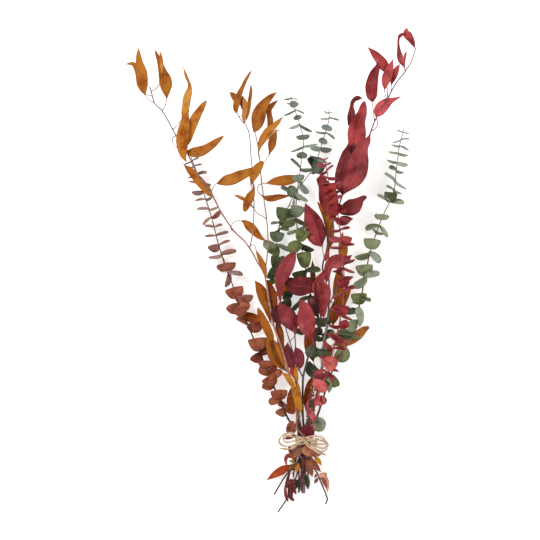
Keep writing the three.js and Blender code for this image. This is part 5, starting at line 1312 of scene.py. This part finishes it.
spiralGreenRight = dict(
    seed=24, finish=greenFinish, slot="green_leaf", stalk="#9a8478",
    tints=[(20, "#6c7450"), (120, "#747c4c"), (200, "#969d70"), (350, "#9ca688"), (470, "#a8b2a8")],
    bark=[
        (-50, "#5a3c38"), (0, "#7a5a50"), (100, "#946e62"), (220, "#a4685c"), (400, "#a8746a"),
        (470, "#8a7a74"),
    ],
    place=(1.5, 1),
    below=[(8, -28, 9.8), (6, -52, 10)],
    above=[
        (16, 26, 11), (23, 45, 13), (31, 70, 14.5), (39, 95, 16), (48, 115, 17), (57, 130, 17), (64, 142, 17),
        (70, 152, 17), (76, 163, 17), (80, 175, 17), (82, 190, 17), (83, 203, 17), (87, 220, 17),
        (90, 240, 16), (93, 252, 16), (98, 278, 15), (105, 300, 15), (112, 320, 15), (120, 340, 15),
        (127, 354, 15), (135, 375, 15), (138, 400, 15), (141, 425, 15), (143, 440, 15), (148, 460, 16),
        (149, 467, 17),
    ],
    pairs=[
        (462, (140, 466, 2), (157, 458, 2), 5),
        (451, (132, 447, 2), (158, 450, 2), 9),
        (441, (132, 444, 2), (156, 433, 2), 10),
        (431, (127, 434, 2), (156, 428, 4), 12),
        (417, (125, 421, 3), (156, 414, 6), 13),
        (405, (127, 407, 7), (150, 402, 3), 14),
        (388, (120, 398, 4), (155, 378, 2), 16),
        (375, (123, 379, 2), (147, 371, 2), 16),
        (357, (109, 365, 4), (150, 353, 8, "#a9b49c"), 18),
        (321, (93, 313, 8), (122, 303, 5), 20),
        (281, (77, 275, 9), (112, 264, 11, "#a8b4a0"), 20),
        (244, (73, 231, 12), (114, 246, 10), 22),
        (212, (72, 207, 5), (99, 206, 5), 20),
        (158, (51, 159, 9), (86, 154, 6), 22),
        (138, (50, 119, 21), None, 24),
        (97, (31, 99, 5), (50, 81, 16), 20),
        (62, (23, 64, 5), None, 14),
    ],
    turnedFrom=200,
    frontPairs=[
        (357, 131, 373, 20, 9, "#5c6444"),
        (331, 117, 341, 23, 11),
        (287, 103, 304, 26, 11),
        (247, 90, 265, 26, 11),
        (204, 82, 222, 24, 10),
    ],
    leaves=[
        leaf("#465040", (81, 197, 3), (77, 194.5, 9), (71, 193.5, 10.5), (65, 191.5, 8), (62, 190, 2),
            z=(13, 11), at=(82, 196)),
        leaf("#b2bea6", (82, 200, 4), (82, 195, 11), (84, 188, 12.5), (85, 181, 10), (84, 175, 7),
            (83, 170, 2), z=(20, 22), at=(82, 198)),
        leaf("#8a9670", (79, 180, 3), (75, 176, 13), (72.5, 170.5, 15.5), (70, 164, 9), (69, 161.5, 3),
            z=(18, 19), at=(78, 178)),
        leaf("#a2ac84", (31, 99, 2), (33, 92, 9), (36, 85, 10.5), (38, 78, 8.5), (37, 71, 2), z=(20, 17),
            at=(34, 80)),
        leaf("#525c44", (75, 161, 3), (68, 158, 12), (60, 157, 14), (52, 158, 10), (47, 159, 3), z=(19, 17),
            at=(74, 160)),
        # its tint is made lighter to make up for the shade of the leaves above it: partly its own grey-green,
        # partly painted light
        dict(at=(16, 26), root=(12, 27), tip=(33, 22.5), wide=22, seen=21, z=(15, 18), cut="round",
            tint="#9aa58c"),
    ],
    hanging=[(309, (110, 314, 0.4), 22)],
)
growSpray("spiral_spray_green_right", spiralGreenRight)

spiralRed = dict(
    seed=25, finish=redFinish, slot="red_leaf", stalk="#b4504e",
    tints=[(20, "#a2403f"), (100, "#b84c4c"), (250, "#a83e40"), (420, "#9a3236")],
    bark=[
        (-108, "#6a4440"), (-20, "#5a3430"), (20, "#8a4644"), (120, "#c86c66"), (250, "#c46460"),
        (420, "#a44246"),
    ],
    place=(1, 2),
    below=[(2, -24, 14), (-8, -45, 13.5), (-17, -70, 12), (-27, -90, 9), (-39, -108, 6)],
    above=[
        (9, 24, 22), (13, 40, 29), (18, 58, 36), (24, 75, 42), (31, 92, 47), (38, 108, 51), (42, 125, 53),
        (45, 140, 55), (49, 155, 57), (52, 170, 59), (54, 180, 60), (57, 195, 62), (58, 205, 63),
        (59, 225, 65), (60, 245, 67), (58, 275, 68), (55, 305, 69), (52, 330, 69), (50, 345, 69),
        (44, 365, 70), (38, 385, 70), (33, 410, 71), (30, 424, 72),
    ],
    twigs=[
        dict(start=(-1, -32), thick=1.6, tip=1.4, points=[(-3, -45, 11), (-5.5, -60, 9), (-8, -79, 7)]),
        dict(start=(1, -28), thick=1.5, tip=1.3, points=[(-1, -45, 12), (-3.5, -65, 11), (-4.5, -76, 10)]),
    ],
    pairs=[
        (420, (24, 424, 2), (37, 423, 2), 4),
        (412, (20, 414, 7), (41, 414, 3), 9),
        (404, (23, 399, 3), (45, 411, 2), 10),
        (394, (24, 400, 3), (49, 393, 5, "#d05a54"), 10),
        (385, (20, 385, 2), (56, 388, 2), 12),
        (375, (28, 380, 6), (53, 373, 5), 13),
        (365, (30, 359, 7), (57, 368, 5), 14),
        (355, (33, 352, 6), (60, 351, 6), 14),
        (344, (36, 341, 6), (63, 340, 7), 15),
        (331, (37, 330, 5), (67, 325, 6), 15),
        (315, (36, 316, 2), (69, 316, 3), 16),
        (303, (37, 304, 9), (71, 300, 13, "#cc6a66"), 17),
        (290, (36, 291, 2), (76, 291, 3), 18),
        (268, (41, 262, 9), (76, 272, 4), 17),
        (259, (42, 254, 3), (77, 253, 2), 18),
        (245, (50, 247, 5), (73, 245, 7), 17),
        (224, (40, 214, 2), (77, 226, 5), 19),
        (190, (37, 195, 2), (73, 182, 3), 18),
        (171, (37, 174, 4), (68, 171, 13), 18),
        (150, (34, 157, 4), (67, 146, 3), 18),
        (137, (31, 148, 7), (61, 133, 4), 18),
        (113, (23, 124, 5), (53, 104, 3), 20),
        (98, (14, 99, 7), (42, 88, 6), 18),
    ],
    frontPairs=[
        (371, 37, 383, 22, 6, "#c04440"),
        (359, 38, 371, 19, 5.5, "#a83a3a"),
        (350, 39, 361, 19, 5.5, "#b84a46"),
        (339, 40, 350, 19, 5.5, "#983034"),
        (229, 57, 244, 22, 10),
        (186, 57, 204, 24, 10),
        (149, 52, 158, 24, 11),
    ],
    leaves=[
        leaf("#d26a62", (38, 126, 7), (38, 121.5, 20), (39, 116, 24), (39, 110, 19.5), (38, 105, 10),
            (37.5, 102, 2), at=(41, 120), rise=9),
        leaf("#ce645e", (14.5, 92, 3), (18, 87, 13), (22, 83, 17.5), (28, 79, 17.5), (33, 77, 12.5),
            (35.5, 76, 4), at=(28, 86), z=(53, 54)),
        leaf("#a23c46", (15, 99, 2), (21, 102, 6.5), (27, 103.5, 7), (33, 105, 2), at=(34, 98), z=(55, 54)),
        leaf("#8c2c38", (34, 103, 2), (38, 99, 6), (40, 94, 6), (41, 87, 1), at=(33, 98), z=(50, 44)),
        leaf("#c65c5a", (15, 60, 3), (18, 59.5, 12.5), (23, 59, 16.5), (28, 59.5, 15), (32, 60, 6),
            at=(18, 58), rise=9),
        # a dark leaf laid over the right side of the pale round leaf before it: painted shade on that side
        leaf("#7a2630", (33, 62, 5), (29, 60, 13), (26, 59, 12), (24, 58, 3), at=(19, 59), rise=10),
        leaf("#a0404a", (8.5, 64, 2), (6, 56, 4.5), (5, 49, 5), (7, 43, 5.5), (5.5, 38, 4), (4, 34, 1),
            at=(15, 55), z=(40, 34), roll=0.5),
        leaf("#c26060", (9, 45, 2), (11, 41, 8), (13, 36, 9.5), (15.5, 32, 8), (18, 29, 2), at=(12, 42),
            z=(36, 32), fold=0.3),
        leaf("#8a2a34", (10, 29, 2), (14, 31, 5), (17, 33, 5), (20, 32, 1), at=(10, 30), z=(33, 34)),
        leaf("#b87058", (15.5, 13, 2), (16.2, 19, 3.8), (16.8, 24.5, 1.5), at=(9, 24), z=(27, 29)),
        leaf("#8e2c36", (14, 66, 2), (11, 68, 6), (8, 67, 5), (5, 63, 1), at=(21, 67), z=(44, 42)),
        leaf("#5a2826", (-22, -61, 4), (-21.5, -67, 8), (-20.5, -73, 8.5), (-20.5, -80, 8.5), (-20, -86, 7),
            (-15, -91, 3), at=(-12, -66), z=(12, 9), fold=0.3),
        leaf("#80382e", (-17, -63, 3), (-16, -68, 6), (-16, -74, 5), (-18, -82, 1), at=(-12, -66),
            z=(13, 10)),
        leaf("#5e2c2a", (-21, -45, 2), (-23, -54, 4.2), (-25.5, -62, 4.6), (-27, -70, 4.2), (-28, -77, 1),
            at=(-14, -62), z=(12, 9)),
        leaf("#b0504c", (-28, -67, 2), (-28, -76, 4.6), (-27, -84, 5), (-25, -90, 3.4), (-23.5, -93, 1),
            at=(-18, -72), z=(11, 7)),
        leaf("#241c1a", (-25, -61.5, 1), (-19, -61, 2.6), (-12, -61, 2), at=(-15, -64), z=(15, 14)),
        leaf("#8a2c34", (-17, -71, 2), (-14.5, -76, 5.5), (-12, -81, 2), at=(-12, -66), z=(11, 9)),
        leaf("#7a3c34", (-26, -66, 2), (-22, -62.5, 6.5), (-17, -61.5, 6.5), (-13, -64, 2), at=(-12, -66),
            z=(14, 14), fold=0.4),
    ],
)
growSpray("spiral_spray_red", spiralRed)

# red branch with large broad leaves on looping stalks
broadleaf = dict(
    seed=31, finish=redFinish, slot="red_leaf", stalk="#9a6468",
    tints=[(50, "#9a2e34"), (250, "#a83438"), (600, "#9c3034")],
    bark=[
        (-80, "#4a2e2e"), (0, "#54403e"), (100, "#5c4e56"), (330, "#5a4650"), (450, "#6a4e50"),
        (600, "#9a7476"),
    ],
    place=(0, 2), sizes=dict(tip=0.8),
    below=[(-5, -22, 15), (-14, -40, 14), (-25, -50, 11.5), (-45, -82, 6)],
    above=[
        (-1, 24, 20), (-2, 45, 25), (-2, 75, 31), (-1, 96, 34), (3, 112, 36), (7, 128, 38), (12, 140, 41),
        (16, 150, 43), (20, 165, 45), (24, 180, 46), (26, 190, 46), (22, 210, 47), (25, 228, 47),
        (29, 247, 47), (28, 262, 47), (34, 285, 47), (38, 310, 47), (45, 330, 46), (52, 350, 45),
        (58, 368, 45), (72, 400, 44), (84, 425, 44), (98, 457, 44), (106, 478, 45), (117, 498, 46),
        (126, 513, 46), (132, 525, 47), (140, 538, 48), (149, 549, 49), (160, 566, 50), (168, 588, 52),
    ],
    twigs=[
        dict(start=(-1, 93), points=[
            (-10, 112, 39), (-19, 140, 43), (-26, 163, 46), (-31, 185, 48), (-36, 214, 49),
        ]),
    ],
    leaves=[
        leaf("#742632", (-15, 104, 1.5), (-18, 111, 11), (-21, 119, 18), (-23.8, 128, 18.5),
            (-25.2, 136, 13.5), (-24, 146.8, 0.5), at=(-7, 107), z=(31, 31.5)),
        leaf("#7c2832", (-8.5, 105.5, 1.5), (-6.5, 112, 11), (-6.5, 120, 15), (-8.5, 129, 15.5),
            (-11, 135, 9), (-13.5, 139.5, 1), at=(-5, 103), z=(38, 40)),
        leaf("#8a3036", (-12.5, 159, 1.5), (-15.5, 168, 15), (-20, 177, 24), (-25.5, 186, 26),
            (-30.5, 194, 20.5), (-34, 200.5, 12), (-37.5, 206, 2), at=(-21, 148), z=(45, 51), fold=-0.35,
            stalkPath=[(-17.5, 152)]),
        leaf("#9e3c3e", (14, 149, 1.5), (11.5, 156, 11), (7, 165, 21), (4, 176, 27), (2.6, 187, 26.5),
            (1, 197, 19.5), (-2.5, 205, 11), (-3, 211, 2), at=(13, 143), z=(48, 52), fold=0.3),
        leaf("#6a181e", (18, 221, 2), (13, 226, 16), (7, 229.5, 25), (-1, 231, 29), (-10, 231, 29),
            (-18, 234, 22), (-25, 238, 13), (-32, 240.5, 1), at=(22, 212), z=(51, 50)),
        leaf("#8e3236", (-35.5, 206, 1.5), (-36, 214, 5.5), (-36, 222, 7), (-36.8, 230, 11.5), (-36, 238, 16),
            (-32.5, 247, 20.5), (-27.5, 258, 22.5), (-22, 268, 19.5), (-17, 276, 12.5), (-13.3, 281, 4),
            at=(-34, 204), z=(51, 56), fold=0.25),
        leaf("#4e1c1e", (-39, 202, 4), (-41, 194, 16), (-40.5, 186, 17), (-38, 178, 13), (-38, 169, 2),
            at=(-34, 202), z=(45, 43)),
        leaf("#9e3a3c", (29.5, 182.5, 1.5), (29, 191, 9), (28, 200, 15), (28.7, 209, 18.5), (29.7, 218, 21),
            (28.5, 227, 20.5), (25, 235, 11), (22, 238, 3), at=(25, 184), z=(48, 52), fold=0.25),
        # a very dark leaf set where the leaves beside it cast shade: painted shadow
        leaf("#2e161a", (22, 183, 2), (17.5, 192, 11), (13.5, 203, 14), (10.5, 212, 11), (9, 219, 2),
            at=(24, 186), z=(44, 46)),
        leaf("#ac484a", (24, 187, 1), (23, 196, 3.6), (20.5, 207, 5.2), (18.5, 218, 7.2), (16, 228, 7.8),
            (13, 236.5, 1), at=(25, 186), z=(51, 55)),
        leaf("#42141a", (24.5, 188, 1), (21.5, 200, 2.6), (18.8, 212, 3.2), (17.2, 225, 2.6), (16.4, 234, 1),
            at=(25, 186), z=(54, 58)),
        leaf("#a23c3e", (31.3, 255.5, 1), (28.5, 248, 9), (25, 242, 13.5), (21, 238, 12), (15, 236.5, 4),
            at=(29, 247), z=(50, 54)),
        leaf("#a03e40", (33, 235.5, 1.5), (34.8, 244, 7.2), (35.3, 252, 10.5), (37, 260, 13), (42, 267, 16),
            (50, 269, 19), (59, 269.5, 16), (66, 273, 8.8), (72, 277.8, 0.5), at=(27, 236), z=(50, 52)),
        leaf("#8f3034", (27.5, 290, 1.5), (23.5, 297, 20), (20.5, 306, 30.5), (16.8, 320, 29),
            (11.5, 333.5, 23.5), (6.5, 344, 14), (3.5, 350.5, 7), (1.8, 355.5, 0.5), at=(31, 273), z=(48, 52),
            fold=-0.55, roll=0.12, stalkPath=[(28.5, 281)]),
        leaf("#9a3638", (36, 288, 1.2), (34.5, 280, 5), (33, 273, 6), (32, 268, 1), at=(35, 290), rise=3),
        leaf("#a43c3e", (46, 331, 3), (53, 328, 12), (60, 329, 15), (67, 331, 10), (73.5, 331.8, 1),
            at=(43, 326), z=(48, 50)),
        leaf("#7e2a2c", (50, 343, 2), (57, 344, 13), (66, 347, 23), (75, 351, 24), (81, 356, 17),
            (86, 361, 9.6), (90, 363.5, 7.6), (93.5, 364.8, 4), at=(47, 335), z=(46, 47)),
        leaf("#963234", (45, 333, 2), (41.5, 341, 13), (39, 351, 25), (37, 362, 29), (34, 373, 26),
            (29, 384, 17), (24.5, 390.5, 13), (21.3, 394, 8), at=(43, 327), z=(47, 50)),
        leaf("#7c2a2c", (58, 368, 2), (55.5, 380, 16), (56.5, 395, 21), (60.5, 410, 22), (65, 425, 20),
            (67.5, 436, 14), (66.5, 446, 0.5), at=(57, 366), z=(44, 43)),
        leaf("#9e3e40", (59, 368.5, 2), (65, 379, 15), (73, 391, 28), (79, 404, 33), (82.5, 418, 29.5),
            (85, 430, 23), (89, 440, 16), (95, 449, 10), (99, 458, 2), at=(56, 364), z=(49, 53), fold=0.16),
        leaf("#a83a3c", (72.5, 430, 1.5), (73.5, 437, 12), (76.5, 446, 22), (79, 456, 28), (79.5, 467, 26.5),
            (82.5, 479, 19.5), (87, 490, 14.5), (88.8, 499, 11), (90, 505, 6.5), (90.8, 508, 2), at=(80, 418),
            z=(45, 46)),
        # a dark leaf set under the root of the leaf before it, where that root casts its shadow: painted
        # shadow
        leaf("#4c141c", (72, 429, 2), (72, 434, 9), (73, 439, 9), (75, 445, 1.5), at=(80, 418), z=(46.5, 47)),
        leaf("#7a282a", (67.5, 472, 4), (70.3, 483, 11.5), (71.5, 492, 10.6), (71.5, 500, 6.2),
            (73, 507, 6.2), (76.5, 511.5, 6.6), (81, 513, 7.4), (88, 512.5, 0.5), at=(84, 425), z=(41, 39)),
        leaf("#822226", (103, 507.5, 4), (102, 514, 14.5), (101.3, 522, 18), (101.5, 532, 18.5),
            (103.5, 543, 16), (106.5, 552, 13), (109.5, 559, 8.5), (109.3, 566, 0.5), at=(105.7, 478),
            z=(46, 50), stalkPath=[(104, 492)]),
        leaf("#cc5458", (108.5, 484.5, 3), (110.5, 489.5, 13), (113.5, 495, 17.8), (119, 501.5, 18),
            (126, 507, 13), (132.5, 510, 7.2), (139, 512.3, 3.6), (147.5, 516, 0), at=(103, 462), z=(46, 42),
            fold=0.1, stalkPath=[(108, 468), (110.5, 474), (109.5, 481)]),
        leaf("#a43c3c", (124, 551, 6), (121.5, 558, 14), (117.5, 565, 16.5), (111.5, 573, 13.5),
            (104, 581, 9), (94.5, 590.5, 0), at=(125, 513), z=(47, 55), fold=-0.3, stalkPath=[(124.5, 530)]),
        leaf("#b84a4a", (121, 525.5, 1.5), (121.5, 533, 9), (124, 543, 15), (127.5, 553, 13), (130.5, 562, 8),
            (133.5, 571.5, 0.5), at=(124, 511), z=(50, 52)),
        leaf("#a43c3c", (131, 533, 1.5), (133, 541, 8), (136, 549, 10), (139.5, 557, 7.3), (144.4, 564.8, 0),
            at=(131, 523), rise=3),
        leaf("#8f3234", (149.3, 560.5, 2), (146.5, 568, 9.3), (143.7, 576, 9.3), (142.3, 585, 5.6),
            (141.6, 594, 3.4), (142, 602, 3.6), (144, 606.5, 5.6), (148, 608.3, 5.2), (152.5, 608, 3.5),
            at=(151, 554), rise=6),
        leaf("#a83c3e", (151, 556, 0.8), (150.8, 565, 1.8), (151.3, 573, 3.4), (152, 578, 4), (154.8, 584, 0),
            rise=3),
        leaf("#b04446", (166, 588.5, 1.5), (163.5, 595, 6.8), (160, 601.5, 10.3), (156, 607, 13.2),
            (153.5, 612, 9.8), (154.6, 619, 0.5), rise=3),
        leaf("#8a3a3a", (-15, -28, 2), (-19.5, -24.5, 6), (-24, -23.5, 7), (-27, -27, 6), (-27.5, -32, 4.5),
            (-26, -37, 2), at=(-8, -30), z=(15, 15)),
        leaf("#7c2028", (1.5, 5, 4), (0.5, 10, 9.5), (0, 15, 10), (0.5, 19, 7), (1.5, 23, 2), at=(-1, 14),
            z=(23, 26), fold=0.25),
        leaf("#6a1a22", (8, 5, 4), (10, 9, 11), (9.5, 13, 11), (8, 17, 8), (7, 21, 3), at=(0, 16), z=(24, 26),
            fold=0.3),
    ],
    sheet=dict(columns=13, rib=0.35),
)
growSpray("broadleaf_branch_red", broadleaf)

# twig with small seed capsules
seedTwig = dict(
    seed=41, finish=willowFinish, slot="seed_brown", stalk="#8a6a50",
    tints=[(-50, "#b8701c"), (100, "#b8701c")],
    bark=[(-50, "#5a3c34"), (20, "#6b5248"), (90, "#8a6a58")],
    place=(0.5, 1), sizes=dict(thick=1.2),
    below=[(3.5, -18, 9.6), (2, -30, 9.6), (1, -46, 9.8)],
    above=[(6, 22, 13), (10, 40, 20), (13, 55, 26), (15, 72, 31), (18, 86, 36), (20, 93, 38)],
    leaves=[
        leaf("#c88a18", (16, -25, 2), (19.5, -29, 7), (23, -33, 6.5), (26, -38, 1), at=(3.5, -17),
            z=(17, 15)),
        leaf("#b06818", (13, -24, 2), (18, -23, 5), (23, -21, 5.5), (27.5, -19, 1), at=(3.5, -15),
            z=(19, 18)),
    ],
)

capsules = dict(
    seed=8, count=26, low=14, high=92, reach=(3.5, 6.5), size=(1.5, 2.1), segments=12, rings=10,
    tints=[tone("#b08060"), tone("#8a7668"), tone("#74604e"), tone("#a8928a")],
    stalk=0.45, tube=dict(sides=6, flatness=1.0, twist=0.0, ridgeDepth=0.0, ridgeSize=300.0),
)


def capsuleTree():
    # on each point a small urn with a rim, turned along the point's heading
    board, given = geometryBoard("seedCapsules", {"Segments": "Int", "Rings": "Int", "Material": "Material"})
    ball = board.node("GeometryNodeMeshUVSphere", {}, {
        "Segments": given["Segments"], "Rings": given["Rings"], "Radius": 1.0,
    }, "Mesh")
    place = board.node("GeometryNodeInputPosition")
    ball = stored(board, ball, "section", place, "FLOAT_VECTOR")
    x, y, z = board.split(place)
    wide = board.between(z, 0.2, 0.7, (1.0, 0.8)) * board.between(z, 0.6, 0.93, (1.0, 1.9))
    deep = z.maths("MINIMUM", 0.8) - board.between(z, 0.9, 0.97) * 0.4
    ball = board.node("GeometryNodeSetPosition", {}, {
        "Geometry": ball, "Position": board.joinXyz(x * wide, y * wide, deep * 1.35),
    })
    turned = board.node("FunctionNodeAlignRotationToVector", {"axis": "Z"}, {
        "Vector": named(board, "heading", "FLOAT_VECTOR"),
    }, "Rotation")
    seeds = board.node("GeometryNodeInstanceOnPoints", {}, {
        "Points": given["Geometry"], "Instance": ball, "Rotation": turned, "Scale": named(board, "size"),
    }, "Instances")
    return finishTree(board, seeds, given["Material"])


def growCapsules(twig):
    # seed capsules on short stalks, in turn on both sides of the twig
    dice = random.Random(capsules["seed"])
    points, headings, sizes, tints, stalks = [], [], [], [], []
    for k in range(capsules["count"]):
        at = capsules["low"] + (capsules["high"] - capsules["low"]) * k / (capsules["count"] - 1)
        root = atY(twig.stems[0], at)
        way = 1 if k % 2 else -1
        out = Vector((way * dice.uniform(0.5, 1.0), dice.uniform(0.1, 0.9), dice.uniform(-0.1, 0.9)))
        out.normalize()
        size = dice.uniform(*capsules["size"])
        point = root + out * dice.uniform(*capsules["reach"]) * mm
        points.append(point)
        headings.append(out)
        sizes.append(size * mm)
        tints.append(capsules["tints"][dice.randrange(len(capsules["tints"]))])
        stalks.append(dict(line=[root, (root + point) / 2, point], thick=capsules["stalk"], tint=twig.stalk))
    mesh = pointMesh("capsulePoints", points, [], {"size": sizes}, {"heading": headings}, {"tint": tints})
    seeds = grown("seed_twig-capsules", mesh, capsuleTree(), {
        "Segments": capsules["segments"], "Rings": capsules["rings"], "Material": barkFinish,
    })
    for piece in (seeds, tubes("seed_twig-stalks", stalks, barkFinish, capsules["tube"])):
        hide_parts("seed_twig")


growCapsules(growSpray("seed_twig", seedTwig))
print("sprays done")

# a pale floor, three soft lamps and a pale room
floorFacts = dict(size=6.0, colour=tone("#f4f3f1"), roughness=0.9, glow=0.5)
white = (1.0, 1.0, 1.0, 1.0)
floorMesh = bpy.data.meshes.new("floor")
half = floorFacts["size"] / 2
corners = [(-half, -half, 0), (half, -half, 0), (half, half, 0), (-half, half, 0)]
floorMesh.from_pydata(corners, [], [(0, 1, 2, 3)])
floorMaterial, _, floorShader = newMaterial("palePaper")
floorShader.inputs["Base Color"].default_value = floorFacts["colour"]
floorShader.inputs["Roughness"].default_value = floorFacts["roughness"]
floorShader.inputs["Emission Color"].default_value = white
floorShader.inputs["Emission Strength"].default_value = floorFacts["glow"]
floorMesh.materials.append(floorMaterial)
floor = bpy.data.objects.new("floor", floorMesh)
bpy.context.scene.collection.objects.link(floor)

lamps = dict(
    key=dict(place=(-1.3, 1.2, 2.0), size=1.1, power=40.0),
    fill=dict(place=(1.6, -0.2, 1.8), size=1.8, power=12.0),
    low=dict(place=(0.1, -1.6, 1.4), size=1.6, power=7.0),
)
room = dict(aim=(0, 0.25, 0), glow=0.5)
for name, facts in lamps.items():
    lamp = bpy.data.lights.new(name, "AREA")
    lamp.shape = "DISK"
    lamp.size = facts["size"]
    lamp.energy = facts["power"]
    stand = bpy.data.objects.new(name, lamp)
    stand.location = facts["place"]
    aim = Vector(room["aim"]) - stand.location
    stand.rotation_euler = aim.to_track_quat("-Z", "Y").to_euler()
    bpy.context.scene.collection.objects.link(stand)

world = bpy.data.worlds.new("studio")
world.use_nodes = True
world.node_tree.nodes["Background"].inputs["Color"].default_value = white
world.node_tree.nodes["Background"].inputs["Strength"].default_value = room["glow"]
bpy.context.scene.world = world
bpy.context.scene.view_settings.view_transform = "Standard"
print("floor and lights set")
